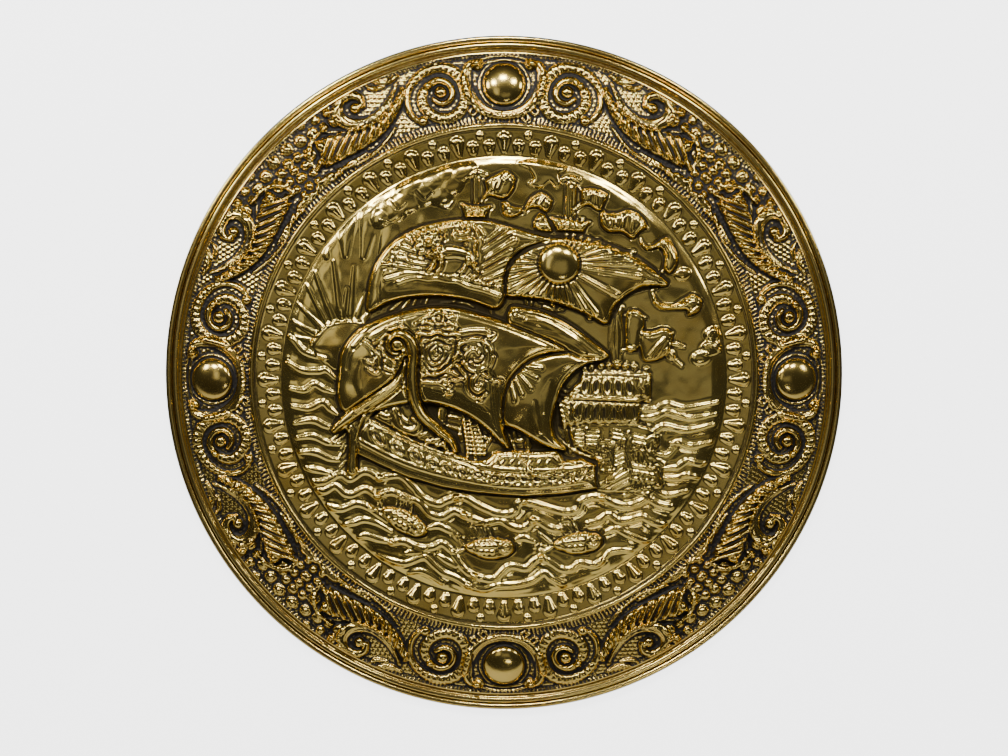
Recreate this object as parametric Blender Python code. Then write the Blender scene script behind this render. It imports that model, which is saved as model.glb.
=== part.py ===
"""Round wall plaque in pressed brass: a three-masted ship at sea inside a scrolled border.

Metres, +Z up. The front faces -Y and the wall is the plane y = 0. The origin is where the
nail carries the hanger strap, so the plaque's middle lies straight below it.
"""

import math

import bmesh
import bpy
import numpy as np
from mathutils import Matrix

# Widths across the sheet, from its edge inwards, in metres
PLAQUE_RADIUS = 0.305
BEAD_WIDTH = 0.0054
BAND_GAP = 0.0012
BAND_WIDTH = 0.0041
BORDER_GROOVE = 0.0045
BORDER_WIDTH = 0.0618
COLLAR_WIDTH = 0.0046
BEAD_BAND_WIDTH = 0.0249
SHEET = 0.0008

# Rises and drops of the sheet's front, from its edge inwards
BEAD_HEIGHT = 0.0047
GAP_RISE = 0.0021
BAND_RISE = 0.0025
BORDER_DROP = 0.0003
BORDER_RISE = 0.0114
GROOVE_DIP = 0.0009
COLLAR_RISE = 0.0023
BEAD_BAND_DROP = 0.0030
SHOULDER_RISE = 0.0036
CROWN_RISE = 0.0019

# The hanger strap across the back of the rolled edge, and its hole for the nail
STRAP_THICK = 0.0020
STRAP_TALL = 0.022
STRAP_BELOW_EDGE = 0.021
STRAP_INSET = 0.0015
NAIL_HOLE = 0.010
HOLE_BELOW_TOP = 0.005
FIT_GAP = 0.0003

# Fineness of the mesh, and distances that belong to it alone
RIM_SEGMENTS = 60
HOLE_SEGMENTS = 32
REACH_SEGMENTS = 256
MEDALLION_GRID = (300, 130)
MEDALLION_TRIANGLES = 1380
EIGHTH_GRID = (150, 90)
EIGHTH_TRIANGLES = 296
RELIEF_STEP = 0.8
SIDE_TURN = 0.15
LEAST_FACING = 0.25
UNFOLD_ROUNDS = 60
MERGE = 0.00001
SEAM = 0.0014
CUT_SPARE = 0.005

# Places that follow from the sizes above
BAND_OUTER = PLAQUE_RADIUS - BEAD_WIDTH - BAND_GAP
BAND_INNER = BAND_OUTER - BAND_WIDTH
BORDER_OUTER = BAND_INNER - BORDER_GROOVE
BORDER_INNER = BORDER_OUTER - BORDER_WIDTH
COLLAR_INNER = BORDER_INNER - COLLAR_WIDTH
MEDALLION_RADIUS = COLLAR_INNER - BEAD_BAND_WIDTH
RIM_BACK = STRAP_THICK + FIT_GAP
GAP_HEIGHT = RIM_BACK + GAP_RISE
BAND_HEIGHT = GAP_HEIGHT + BAND_RISE
BORDER_OUTER_HEIGHT = BAND_HEIGHT - BORDER_DROP
BORDER_INNER_HEIGHT = BORDER_OUTER_HEIGHT + BORDER_RISE
COLLAR_HEIGHT = BORDER_INNER_HEIGHT + COLLAR_RISE
FOLD_HEIGHT = BORDER_INNER_HEIGHT - BEAD_BAND_DROP
SHOULDER_HEIGHT = FOLD_HEIGHT + SHOULDER_RISE
CROWN_HEIGHT = SHOULDER_HEIGHT + CROWN_RISE
STRAP_TOP = PLAQUE_RADIUS - STRAP_BELOW_EDGE
STRAP_REACH = PLAQUE_RADIUS - STRAP_INSET
MIDDLE_Z = HOLE_BELOW_TOP - STRAP_TOP

# The relief is drawn on a grid round the plaque's middle, 220 squares to the medallion's edge.
# The same circles on the grid and on the sheet: each ring of the drawing fills its own width
GRID_RADII = (0.0, 220.0, 247.0, 252.0, 321.0)
SHEET_RADII = (0.0, MEDALLION_RADIUS, COLLAR_INNER, BORDER_INNER, BORDER_OUTER)
MEDALLION_EDGE = 219.4
BORDER_EDGES = (220.6, 320.6)
BEAD_SPOKE = 11.25
MM = 0.001


def smooth_path(points, closed=False, steps=6):
    """A soft curve through the points, as an array of points."""
    given = np.array(points, float)
    if len(given) < 3:
        return given
    if closed:
        padded = np.vstack([given[-1], given, given[:2]])
    else:
        before = 2 * given[0] - given[1]
        after = 2 * given[-1] - given[-2]
        padded = np.vstack([before, given, after])
    share = np.linspace(0, 1, steps, endpoint=False)[:, None]
    parts = []
    for a, b, c, d in zip(padded, padded[1:], padded[2:], padded[3:]):
        bend = 2 * b + (c - a) * share
        bend = bend + (2 * a - 5 * b + 4 * c - d) * share**2
        bend = bend + (3 * b - a - 3 * c + d) * share**3
        parts.append(bend / 2)
    if not closed:
        parts.append(given[-1:])
    return np.vstack(parts)


class Relief:
    """Heights over a window of the drawing grid, in millimetres, raised by strokes and plates."""

    def __init__(self, left, right, low, high):
        self.x = np.arange(left, right + RELIEF_STEP, RELIEF_STEP)
        self.z = np.arange(low, high + RELIEF_STEP, RELIEF_STEP)
        self.height = np.zeros((len(self.z), len(self.x)))

    def window(self, points, margin):
        """The part of the map that a shape reaches, with its coordinates."""
        low = points.min(axis=0) - margin
        high = points.max(axis=0) + margin
        across = slice(*np.searchsorted(self.x, (low[0], high[0])))
        up = slice(*np.searchsorted(self.z, (low[1], high[1])))
        return (up, across), self.x[None, across], self.z[up, None]

    def ridge(self, points, width, height, closed=False, soft=True, power=0.8):
        """A rounded ridge along a path. Its width and height may run from one value to another."""
        path = smooth_path(points, closed) if soft else np.array(points, float)
        if closed:
            path = np.vstack([path, path[:1]])
        count = len(path)
        places = np.linspace(0, 1, count)
        widths = np.interp(places, np.linspace(0, 1, np.size(width)), np.ravel(width))
        heights = np.interp(places, np.linspace(0, 1, np.size(height)), np.ravel(height))
        area, _, _ = self.window(path, widths.max())
        layer = np.zeros_like(self.height[area])
        low, left = area[0].start, area[1].start
        for i in range(count - 1):
            a, b = path[i], path[i + 1]
            here, x, z = self.window(path[i : i + 2], widths.max())
            run = b - a
            length = max(run @ run, 1e-9)
            along = np.clip(((x - a[0]) * run[0] + (z - a[1]) * run[1]) / length, 0, 1)
            away = np.hypot(x - a[0] - along * run[0], z - a[1] - along * run[1])
            half = (widths[i] + (widths[i + 1] - widths[i]) * along) / 2
            rise = heights[i] + (heights[i + 1] - heights[i]) * along
            shape = rise * np.clip(1 - (away / half) ** 2, 0, None) ** power
            inner = (
                slice(here[0].start - low, here[0].stop - low),
                slice(here[1].start - left, here[1].stop - left),
            )
            layer[inner] = np.maximum(layer[inner], shape)
        self.height[area] += layer

    def dome(self, x, z, radius, height, tall=1.0, turn=0.0, power=0.5):
        """A rounded boss, stretched by `tall` along the direction `turn`, in degrees from +Z."""
        reach = radius * max(tall, 1.0)
        area, gx, gz = self.window(np.array([(x, z)], float), reach)
        sine, cosine = math.sin(math.radians(turn)), math.cos(math.radians(turn))
        along = (gx - x) * sine + (gz - z) * cosine
        side = (gx - x) * cosine - (gz - z) * sine
        far = (along / (radius * tall)) ** 2 + (side / radius) ** 2
        self.height[area] += height * np.clip(1 - far, 0, None) ** power

    def plate(self, points, level, bulge=0.0, edge=4.0, soft=True, over=True):
        """A raised shape with a rounded edge. It hides what lies under it, or else adds to it."""
        path = smooth_path(points, True, 5) if soft else np.array(points, float)
        area, x, z = self.window(path, 1.0)
        inside = np.zeros(np.broadcast(x, z).shape, bool)
        away = np.full(inside.shape, 1e6)
        for a, b in zip(path, np.roll(path, -1, axis=0)):
            run = b - a
            if run[1] != 0:
                crosses = (z >= min(a[1], b[1])) & (z < max(a[1], b[1]))
                inside ^= crosses & (x < a[0] + (z - a[1]) * run[0] / run[1])
            along = np.clip(((x - a[0]) * run[0] + (z - a[1]) * run[1]) / max(run @ run, 1e-9), 0, 1)
            away = np.minimum(away, np.hypot(x - a[0] - along * run[0], z - a[1] - along * run[1]))
        deep = away[inside].max()
        lip = np.sqrt(1 - (1 - np.clip(away / edge, 0, 1)) ** 2)
        swell = np.sqrt(np.clip(1 - (1 - away / deep) ** 2, 0, None))
        shape = level * (0.5 + 0.5 * lip) + bulge * swell
        below = self.height[area]
        self.height[area] = np.where(inside, shape if over else below + shape, below)

    def fan(self, x, z, start, end, first, last, count, width, height):
        """Straight rays between two distances from a point, spread from one heading to another."""
        for i in range(count):
            turn = math.radians(first + (last - first) * i / max(count - 1, 1))
            sine, cosine = math.sin(turn), math.cos(turn)
            ends = [(x + start * sine, z + start * cosine), (x + end * sine, z + end * cosine)]
            self.ridge(ends, width, height)

    def read(self, x, z):
        """The height at points of the drawing grid."""
        u = np.clip((x - self.x[0]) / RELIEF_STEP, 0, len(self.x) - 1.001)
        v = np.clip((z - self.z[0]) / RELIEF_STEP, 0, len(self.z) - 1.001)
        i, j = u.astype(int), v.astype(int)
        u, v = u - i, v - j
        low = self.height[j, i] * (1 - u) + self.height[j, i + 1] * u
        high = self.height[j + 1, i] * (1 - u) + self.height[j + 1, i + 1] * u
        return low * (1 - v) + high * v


def draw_sky(relief):
    """The low sun, its rays and the clouds."""
    disc = [(-196, 30), (-190, 52), (-160, 60), (-132, 56), (-118, 30), (-150, 10), (-180, 12)]
    relief.plate(disc, 2.2, 2.4)
    relief.fan(-156, 25, 44, 98, -66, 10, 8, (2.5, 5), 1.8)
    left_clouds = ((-112, 170, 9), (-96, 186, 8), (-84, 177, 9), (-66, 188, 9), (-52, 192, 8), (-72, 174, 6))
    for x, z, size in left_clouds:
        relief.dome(x, z, size, 2.6, 1.3, 60)
    for x, z, size in ((34, 198, 7), (50, 194, 6), (207, 46, 8), (205, 31, 8), (194, 22, 6)):
        relief.dome(x, z, size, 2.2, 1.4, 90)


def draw_sea(relief):
    """The wave crests: short ones at both sides, long ones under the ship."""
    for z, lift in ((40, -16), (16, -13), (-8, 3), (-24, 4), (-40, -6), (-58, 4), (-78, 2)):
        relief.ridge([(-212, z), (-196, z + lift / 3), (-182, z + 3), (-164, z + lift)], 6, 2.4)
    for z in (-18, -32, -46, -63, -84, -98):
        end = math.sqrt(max(213.0**2 - z**2, 0))
        relief.ridge([(148, z - 2), (164, z + 4), (182, z - 2), (end - 6, z + 3)], 6, 2.4)
    crests = (
        ((-192, -103), (-166, -96), (-152, -99), (-138, -92), (-122, -99), (-104, -94), (-90, -104)),
        ((-90, -104), (-70, -124), (-50, -117), (-30, -125), (-8, -133), (8, -133), (14, -122)),
        ((14, -122), (46, -130), (70, -131), (80, -119)),
        ((80, -119), (100, -118), (122, -127), (146, -120), (166, -127)),
        ((-188, -112), (-168, -107), (-154, -116), (-136, -109), (-120, -116), (-108, -113)),
        ((-108, -113), (-84, -124), (-66, -137), (-48, -131), (-24, -142), (0, -141), (16, -149)),
        ((16, -149), (30, -140), (54, -149)),
        ((84, -144), (102, -136), (118, -142), (140, -139), (160, -146)),
        ((-146, -158), (-124, -163), (-100, -168), (-64, -166), (-40, -190), (-12, -199), (4, -187)),
        ((4, -187), (26, -187)),
        ((26, -187), (38, -179), (64, -190), (82, -183), (100, -186), (120, -172)),
        ((-124, -178), (-80, -179), (-52, -197), (-22, -210), (14, -206), (38, -195), (56, -206)),
    )
    for crest in crests:
        relief.ridge(crest, 6, 2.8)
    for x, z, turn in ((-94, -140, 100), (-16, -168, 90), (68, -165, 84)):
        relief.dome(x, z, 13, 4.2, 2.0, turn)
        relief.ridge([(x - 30, z + 6), (x - 22, z), (x - 31, z - 9)], 5, 2.5)
        relief.ridge([(x - 12, z + 11), (x - 2, z + 19), (x + 6, z + 10)], 4, 2.2)
        relief.dome(x + 14, z + 1, 5, 2.0)


def draw_castle(relief):
    """The round tower on the right, its flags, and the landing below it."""
    wall = [(70, -2), (80, 10), (144, 8), (146, -18), (134, -22), (136, -40), (56, -44), (58, -22)]
    wall += [(72, -18)]
    relief.plate(wall, 2.6, 2.6, soft=False)
    for i in range(7):
        relief.dome(80 + 10 * i, 12, 3.4, 2.4)
        relief.ridge([(80 + 10 * i, 0), (80 + 10 * i, -13)], 4.5, 1.4)
        relief.ridge([(70 + 10 * i, -24), (70 + 10 * i, -38)], 4.5, 1.4)
    relief.ridge([(66, -17), (144, -20)], 4, 1.8, soft=False)
    relief.ridge([(52, -46), (138, -48)], 5, 2.2, soft=False)
    relief.ridge([(114, 16), (114, 54)], 4, 2.2)
    for x, z in ((128, 46), (148, 40), (168, 26)):
        relief.dome(x, z, 10, 2.4, 1.3, 60)
    for i in range(4):
        relief.ridge([(72 + 17 * i, -52), (72 + 17 * i, -92)], 9, 2.4, soft=False)
    relief.ridge([(152, -60), (142, -62), (146, -76), (158, -86)], 6, 3.0)
    relief.ridge([(66, -92), (140, -90), (152, -110)], 7, 2.4)


def draw_hull(relief):
    """The hull under its gunwale, the high stern post on the left and the deck rail."""
    hull = [(-150, -38), (-132, -36), (-112, -50), (-48, -78), (-18, -80), (-8, -70), (56, -72)]
    hull += [(70, -82), (91, -84), (92, -108), (20, -116), (-60, -107), (-112, -90), (-150, -68)]
    relief.plate(hull, 4.0, 4.6, soft=False)
    gunwale = [(-134, -38), (-80, -68), (-30, -82), (30, -88), (90, -84)]
    relief.ridge(gunwale, 5, 1.8)
    relief.ridge([(x, z - 22) for x, z in gunwale], 5, 1.8)
    for i in range(13):
        share = i / 12
        x = -124 + 204 * share
        z = np.interp(x, [p[0] for p in gunwale], [p[1] for p in gunwale]) - 11
        relief.dome(x, z, 5, 1.8, 1.5, 90)
    relief.ridge([(-10, -72), (56, -73)], 5, 2.2, soft=False)
    post = [(-105, 40), (-92, 40), (-88, 20), (-93, 0), (-86, -24), (-50, -58), (-46, -78)]
    post += [(-120, -46), (-152, -92), (-156, -56), (-138, -32), (-112, -6), (-104, 20)]
    relief.plate(post, 6.4, 3.0)
    relief.dome(-104, 37, 10, 4.6)
    relief.ridge([(-100, 44), (-90, 34), (-90, 0), (-82, -28), (-52, -56)], 6, 2.2)
    relief.ridge([(-102, 14), (-118, -14), (-150, -36)], 6, 2.2)
    relief.dome(-92, -44, 9, 2.4)
    relief.dome(-106, -22, 7, 2.2)


def draw_rigging(relief):
    """The three masts, their tops, the streamers and the netting."""
    relief.ridge([(-25, 202), (-25, 172)], 5, 3.0)
    relief.plate([(-42, 172), (-8, 172), (-13, 160), (-37, 160)], 5.0, 1.5, soft=False)
    relief.ridge([(66, 196), (64, 156)], 9, 4.0, soft=False)
    relief.plate([(46, 159), (85, 157), (78, 144), (52, 144)], 5.6, 1.5, soft=False)
    relief.ridge([(-8, 190), (4, 184), (12, 170), (36, 176), (50, 158)], (9, 15, 8), 3.6)
    relief.ridge([(72, 190), (86, 180), (100, 176)], (8, 15), 3.6)
    relief.ridge([(96, 162), (118, 155), (138, 150), (134, 136)], (12, 20, 9), 4.0)
    relief.ridge([(134, 133), (150, 130), (162, 122), (157, 104)], (7, 18, 7), 3.6)
    relief.ridge([(147, 90), (158, 74), (186, 76)], (4, 12), 3.0)
    for i in range(3):
        relief.ridge([(-38 + 9 * i, -36), (-35 + 9 * i, -78)], 3, 2.0)
    for i in range(4):
        relief.ridge([(50 + 8 * i, -8), (70 + 7 * i, -72)], 3, 1.6)


def draw_sails(relief):
    """The five filled sails, the lower ones over the upper, with their charges."""
    sun_sail = [(0, 106), (16, 128), (52, 139), (92, 134), (130, 120), (162, 95), (134, 92), (112, 74)]
    sun_sail += [(101, 56), (64, 68), (30, 78), (2, 80)]
    relief.plate(sun_sail, 5.0, 3.4, 5)
    relief.fan(54, 115, 23, 46, 75, 330, 15, (3, 5), 1.8)
    relief.fan(54, 115, 22, 72, 60, 132, 5, (3, 5), 1.8)
    relief.dome(54, 115, 20, 6.4)
    lion_sail = [(-122, 69), (-123, 108), (-108, 134), (-90, 150), (-48, 158), (-12, 156), (16, 146)]
    lion_sail += [(52, 137), (10, 128), (-4, 106), (-2, 80), (-10, 72), (-62, 83), (-112, 78)]
    relief.plate(lion_sail, 5.4, 3.8, 5)
    relief.dome(-72, 136, 11, 3.4)
    relief.ridge([(-58, 129), (-38, 128), (-27, 114)], (12, 16, 12), 3.0)
    for x in (-62, -52, -34, -27):
        relief.ridge([(x, 120), (x + 4, 104)], 5.5, 2.4)
    relief.ridge([(-27, 124), (-18, 138), (-44, 142), (-50, 148)], 5, 2.4)
    relief.fan(-72, 130, 16, 46, 236, 308, 6, (3, 4.5), 1.8)
    relief.fan(-40, 118, 28, 56, 42, 122, 8, 4, 1.8)
    relief.ridge([(-120, 101), (-84, 106), (-40, 101), (-6, 90)], 4.5, 2.0)
    rear_sail = [(8, 66), (30, 68), (66, 58), (90, 42), (105, 23), (94, 20), (74, 10), (58, -10)]
    rear_sail += [(50, -30), (56, -64), (20, -52), (0, -44), (-2, 0), (10, 40)]
    relief.plate(rear_sail, 5.2, 4.6, 5)
    relief.fan(4, 22, 10, 28, 100, 150, 4, 4, 1.6)
    main_sail = [(-163, 19), (-158, 36), (-130, 56), (-104, 70), (-62, 75), (-24, 66), (22, 50)]
    main_sail += [(62, 28), (34, 22), (4, 2), (-4, -30), (4, -64), (-12, -52), (-40, -32)]
    main_sail += [(-82, -22), (-120, -30), (-156, -30)]
    relief.plate(main_sail, 7.0, 5.6, 6)
    shield = [(-83, 46), (-46, 46), (-48, 26), (-58, 14), (-71, 7), (-80, 22)]
    relief.plate(shield, 2.0, 1.6, soft=False, over=False)
    relief.dome(-68, 28, 10, 1.8, 1.4, 20)
    relief.dome(-62, 62, 7, 2.2)
    relief.ridge([(-42, 34), (-26, 41), (-12, 30), (-22, 12), (-38, 20), (-30, 31), (-24, 24)], 6, 2.4)
    relief.ridge([(-32, 10), (-36, -4), (-26, -12), (-20, -2), (-27, 0)], 5.5, 2.2)
    relief.ridge([(-44, 47), (-18, 49)], 6, 2.0)
    relief.ridge([(-82, 4), (-50, 9), (-36, 0)], 6, 2.0)
    relief.ridge([(-136, 36), (-128, 24), (-132, 8), (-122, 10)], 6, 2.0)


def draw_border(relief):
    """One eighth of the border, from a boss on the axis to the fruit on the diagonal."""
    relief.dome(0, 290, 21, 7.0)
    relief.ridge([(31, 311), (44, 309), (45, 296), (38, 278), (22, 264), (0, 259)], (7, 8, 7), 3.0)
    relief.dome(31, 309, 6.5, 3.0)
    relief.ridge([(25, 314), (0, 318)], 4, 1.8)
    relief.dome(26, 260, 4, 1.8)
    scroll = [(88, 250), (99, 262), (100, 284), (86, 300), (64, 303), (48, 290), (45, 270)]
    scroll += [(58, 257), (76, 260), (83, 276), (74, 290), (62, 286)]
    relief.ridge(scroll, (5, 7, 10, 10, 9, 6), 3.4)
    relief.dome(68, 279, 7, 3.8)
    relief.dome(86, 251, 5, 2.6)
    horn = [(106, 290), (112, 268), (124, 246), (146, 230), (166, 226), (184, 221)]
    relief.ridge(horn, (4, 8, 12, 17, 22, 26), (2.0, 3.0, 4.0, 4.4))
    for i in range(6):
        x, z = 132 + 9 * i, 232 - 2 * i
        relief.ridge([(x - 3, z - 8 - i), (x + 3, z + 8 + i)], 5, 1.2)
    leaf = [(120, 262), (136, 246), (156, 244), (169, 258), (162, 276), (146, 276), (142, 262), (150, 258)]
    relief.ridge(leaf, (4, 7, 8, 9, 6), 3.0)
    relief.dome(120, 286, 6, 2.4, 1.5, 60)
    relief.dome(163, 205, 5, 2.0, 2.6, 60)
    relief.dome(184, 181, 5, 2.0, 2.2, 50)
    large_fruit = ((191, 238, 6), (184, 246, 6), (197, 226, 6), (206, 216, 7), (198, 207, 6), (222, 222, 7))
    for x, z, size in large_fruit:
        relief.dome(x, z, size, 3.2)
    for x, z, size in ((190, 199, 5), (214, 233, 6), (203, 201, 5), (192, 192, 5), (202, 242, 5)):
        relief.dome(x, z, size, 2.6)


def draw_beads(relief):
    """The bead band over one eighth: a drop on each spoke, a bead at its sides, a dot between."""
    for i in range(6):
        spoke = math.radians(BEAD_SPOKE * i)
        sine, cosine = math.sin(spoke), math.cos(spoke)
        drop = [(224 * sine, 224 * cosine), (238 * sine, 238 * cosine)]
        relief.ridge(drop, (7, 14), (2.0, 3.8), power=0.5)
        for side in (-1, 1):
            turn = spoke + side * math.radians(BEAD_SPOKE * 0.26)
            relief.dome(229 * math.sin(turn), 229 * math.cos(turn), 5.0, 2.8)
        turn = spoke + math.radians(BEAD_SPOKE / 2)
        relief.dome(241 * math.sin(turn), 241 * math.cos(turn), 3.4, 1.6)


def base_height(radius):
    """The sheet's plain profile, in metres above the wall, at a radius on the drawing grid."""
    radii = (0, 120, 206, 213, 218, 220.5, 246, 247.5, 248.6, 251, 252.2, 286, 318, 321)
    heights = (
        CROWN_HEIGHT,
        CROWN_HEIGHT - 0.0006,
        SHOULDER_HEIGHT,
        SHOULDER_HEIGHT - 0.0008,
        FOLD_HEIGHT + 0.0012,
        FOLD_HEIGHT,
        BORDER_INNER_HEIGHT,
        BORDER_INNER_HEIGHT + 0.0006,
        COLLAR_HEIGHT,
        COLLAR_HEIGHT,
        BORDER_INNER_HEIGHT,
        (BORDER_INNER_HEIGHT + BORDER_OUTER_HEIGHT) / 2,
        BORDER_OUTER_HEIGHT,
        BORDER_OUTER_HEIGHT,
    )
    return np.interp(radius, radii, heights)


def sheet_point(x, z, height):
    """A point of the drawing grid, at a height above the wall, as a place on the plaque."""
    radius = np.hypot(x, z)
    scale = np.interp(radius, GRID_RADII, SHEET_RADII) / np.maximum(radius, 1e-9)
    return np.stack([x * scale, -height, MIDDLE_Z + z * scale], axis=-1)


def unfold(mesh):
    """Evens out the places where thinning has folded the sheet over or stood it on edge."""
    bm = bmesh.new()
    bm.from_mesh(mesh)
    bm.normal_update()
    front = -math.copysign(1.0, sum(f.normal.y * f.calc_area() for f in bm.faces))
    for _ in range(UNFOLD_ROUNDS):
        steep = [f for f in bm.faces if -front * f.normal.y < LEAST_FACING]
        loose = {v for f in steep for v in f.verts if not v.is_boundary}
        if not loose:
            break
        bmesh.ops.smooth_vert(
            bm, verts=list(loose), factor=0.5, use_axis_x=True, use_axis_y=True, use_axis_z=True
        )
        bm.normal_update()
    bm.to_mesh(mesh)
    bm.free()


def polar_sheet(name, inner, outer, last, grid, relief, triangles):
    """A patch of the sheet's front between two grid radii, thinned where the relief is flat."""
    bm = bmesh.new()
    bmesh.ops.create_grid(bm, x_segments=grid[0], y_segments=grid[1], size=0.5)
    share = np.array([v.co for v in bm.verts])
    turn = (share[:, 0] + 0.5) * last
    radius = inner + (share[:, 1] + 0.5) * (outer - inner)
    x, z = radius * np.sin(turn), radius * np.cos(turn)
    places = sheet_point(x, z, base_height(radius) + relief.read(x, z) * MM)
    for vertex, place in zip(bm.verts, places):
        vertex.co = place
    bmesh.ops.remove_doubles(bm, verts=bm.verts, dist=MERGE)
    bmesh.ops.triangulate(bm, faces=bm.faces)
    mesh = bpy.data.meshes.new(name)
    bm.to_mesh(mesh)
    count = len(bm.faces)
    bm.free()
    patch = bpy.data.objects.new(name, mesh)
    bpy.context.scene.collection.objects.link(patch)
    thin = patch.modifiers.new("thin", "DECIMATE")
    thin.ratio = triangles / count
    graph = bpy.context.evaluated_depsgraph_get()
    thinned = bpy.data.meshes.new_from_object(patch.evaluated_get(graph))
    bpy.data.objects.remove(patch)
    bpy.data.meshes.remove(mesh)
    unfold(thinned)
    return thinned


def straighten(bm, last):
    """Puts the points of a thinned eighth that lie on its two straight sides exactly there."""
    for vertex in bm.verts:
        if not vertex.is_boundary:
            continue
        x, z = vertex.co.x, vertex.co.z - MIDDLE_Z
        radius, turn = math.hypot(x, z), math.atan2(x, z)
        for side in (0.0, last):
            if abs(turn - side) < math.radians(SIDE_TURN):
                vertex.co.x = radius * math.sin(side)
                vertex.co.z = MIDDLE_Z + radius * math.cos(side)


def loops_from_middle(bm):
    """The closed boundary loops of a flat-lying sheet, each in order round the middle, inner first."""
    edges = {e for e in bm.edges if e.is_boundary}
    loops = []
    while edges:
        edge = edges.pop()
        loop = [edge.verts[0], edge.verts[1]]
        while loop[-1] is not loop[0]:
            onward = next(e for e in loop[-1].link_edges if e in edges)
            edges.remove(onward)
            loop.append(onward.other_vert(loop[-1]))
        loops.append(loop[:-1])
    loops.sort(key=lambda loop: math.hypot(loop[0].co.x, loop[0].co.z - MIDDLE_Z))
    return loops


def turn_of(vertex):
    return math.atan2(vertex.co.x, vertex.co.z - MIDDLE_Z) % math.tau


def join_loops(bm, inner, outer):
    """Fills the narrow ring between two loops that have different numbers of points."""
    inner = sorted(inner, key=turn_of)
    outer = sorted(outer, key=turn_of)
    i = j = 0
    while i < len(inner) or j < len(outer):
        a, b = inner[i % len(inner)], outer[j % len(outer)]
        next_a, next_b = inner[(i + 1) % len(inner)], outer[(j + 1) % len(outer)]
        turn_a = turn_of(next_a) + (math.tau if i + 1 >= len(inner) else 0)
        turn_b = turn_of(next_b) + (math.tau if j + 1 >= len(outer) else 0)
        if j >= len(outer) or (i < len(inner) and turn_a <= turn_b):
            bm.faces.new((a, next_a, b))
            i += 1
        else:
            bm.faces.new((a, next_b, b))
            j += 1


def rim_profile():
    """The rolled edge in section, from the border's front round the edge to the border's back."""
    bead = PLAQUE_RADIUS - BEAD_WIDTH / 2
    start = BORDER_OUTER + SEAM
    front = BORDER_OUTER_HEIGHT - GROOVE_DIP
    return (
        (start, front),
        ((start + BAND_INNER) / 2, front - GROOVE_DIP),
        (BAND_INNER, BAND_HEIGHT),
        (BAND_OUTER, BAND_HEIGHT),
        (BAND_OUTER + BAND_GAP, GAP_HEIGHT),
        (bead - BEAD_WIDTH * 0.25, RIM_BACK + BEAD_HEIGHT * 0.8),
        (bead, RIM_BACK + BEAD_HEIGHT),
        (bead + BEAD_WIDTH * 0.4, RIM_BACK + BEAD_HEIGHT * 0.75),
        (PLAQUE_RADIUS, RIM_BACK + BEAD_HEIGHT * 0.4),
        (bead + BEAD_WIDTH * 0.28, RIM_BACK),
        (bead - BEAD_WIDTH * 0.38, RIM_BACK),
        (BAND_OUTER + BAND_GAP * 0.8, GAP_HEIGHT - SHEET),
        (BAND_OUTER, BAND_HEIGHT - SHEET),
        (BAND_INNER, BAND_HEIGHT - SHEET),
        (start, front - SHEET),
    )


def rim_ring():
    """The profile turned round the plaque's middle: open at its inner side, where the sheet joins it."""
    bm = bmesh.new()
    corners = [bm.verts.new((radius, -height, MIDDLE_Z)) for radius, height in rim_profile()]
    edges = [bm.edges.new(pair) for pair in zip(corners, corners[1:])]
    bmesh.ops.spin(
        bm,
        geom=corners + edges,
        cent=(0, 0, MIDDLE_Z),
        axis=(0, 1, 0),
        angle=math.tau,
        steps=RIM_SEGMENTS,
        use_merge=True,
    )
    bmesh.ops.remove_doubles(bm, verts=bm.verts, dist=MERGE)
    mesh = bpy.data.meshes.new("rim_ring")
    bm.to_mesh(mesh)
    bm.free()
    return mesh


def turned_copy(bm, mesh, turn, mirrored, behind):
    """Adds a mesh to the sheet, turned about the plaque's axis, its other hand if asked for."""
    fresh = bmesh.new()
    fresh.from_mesh(mesh)
    middle = Matrix.Translation((0, 0, MIDDLE_Z))
    spin = middle @ Matrix.Rotation(turn, 4, "Y") @ middle.inverted()
    if mirrored:
        spin = spin @ Matrix.Scale(-1, 4, (1, 0, 0))
    fresh.transform(Matrix.Translation((0, behind, 0)) @ spin)
    joined = bpy.data.meshes.new("joined")
    fresh.to_mesh(joined)
    fresh.free()
    bm.from_mesh(joined)
    bpy.data.meshes.remove(joined)


def sheet_face(middle, eighth, behind):
    """One whole face of the pressed sheet, out to the border's edge, as an open surface."""
    bm = bmesh.new()
    for i in range(4):
        for mirrored in (False, True):
            turned_copy(bm, eighth, math.radians(90 * i), mirrored, behind)
    bmesh.ops.remove_doubles(bm, verts=bm.verts, dist=MERGE)
    turned_copy(bm, middle, 0.0, False, behind)
    medallion, fold, _ = loops_from_middle(bm)
    join_loops(bm, medallion, fold)
    face = bpy.data.meshes.new("face")
    bm.to_mesh(face)
    bm.free()
    return face


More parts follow.
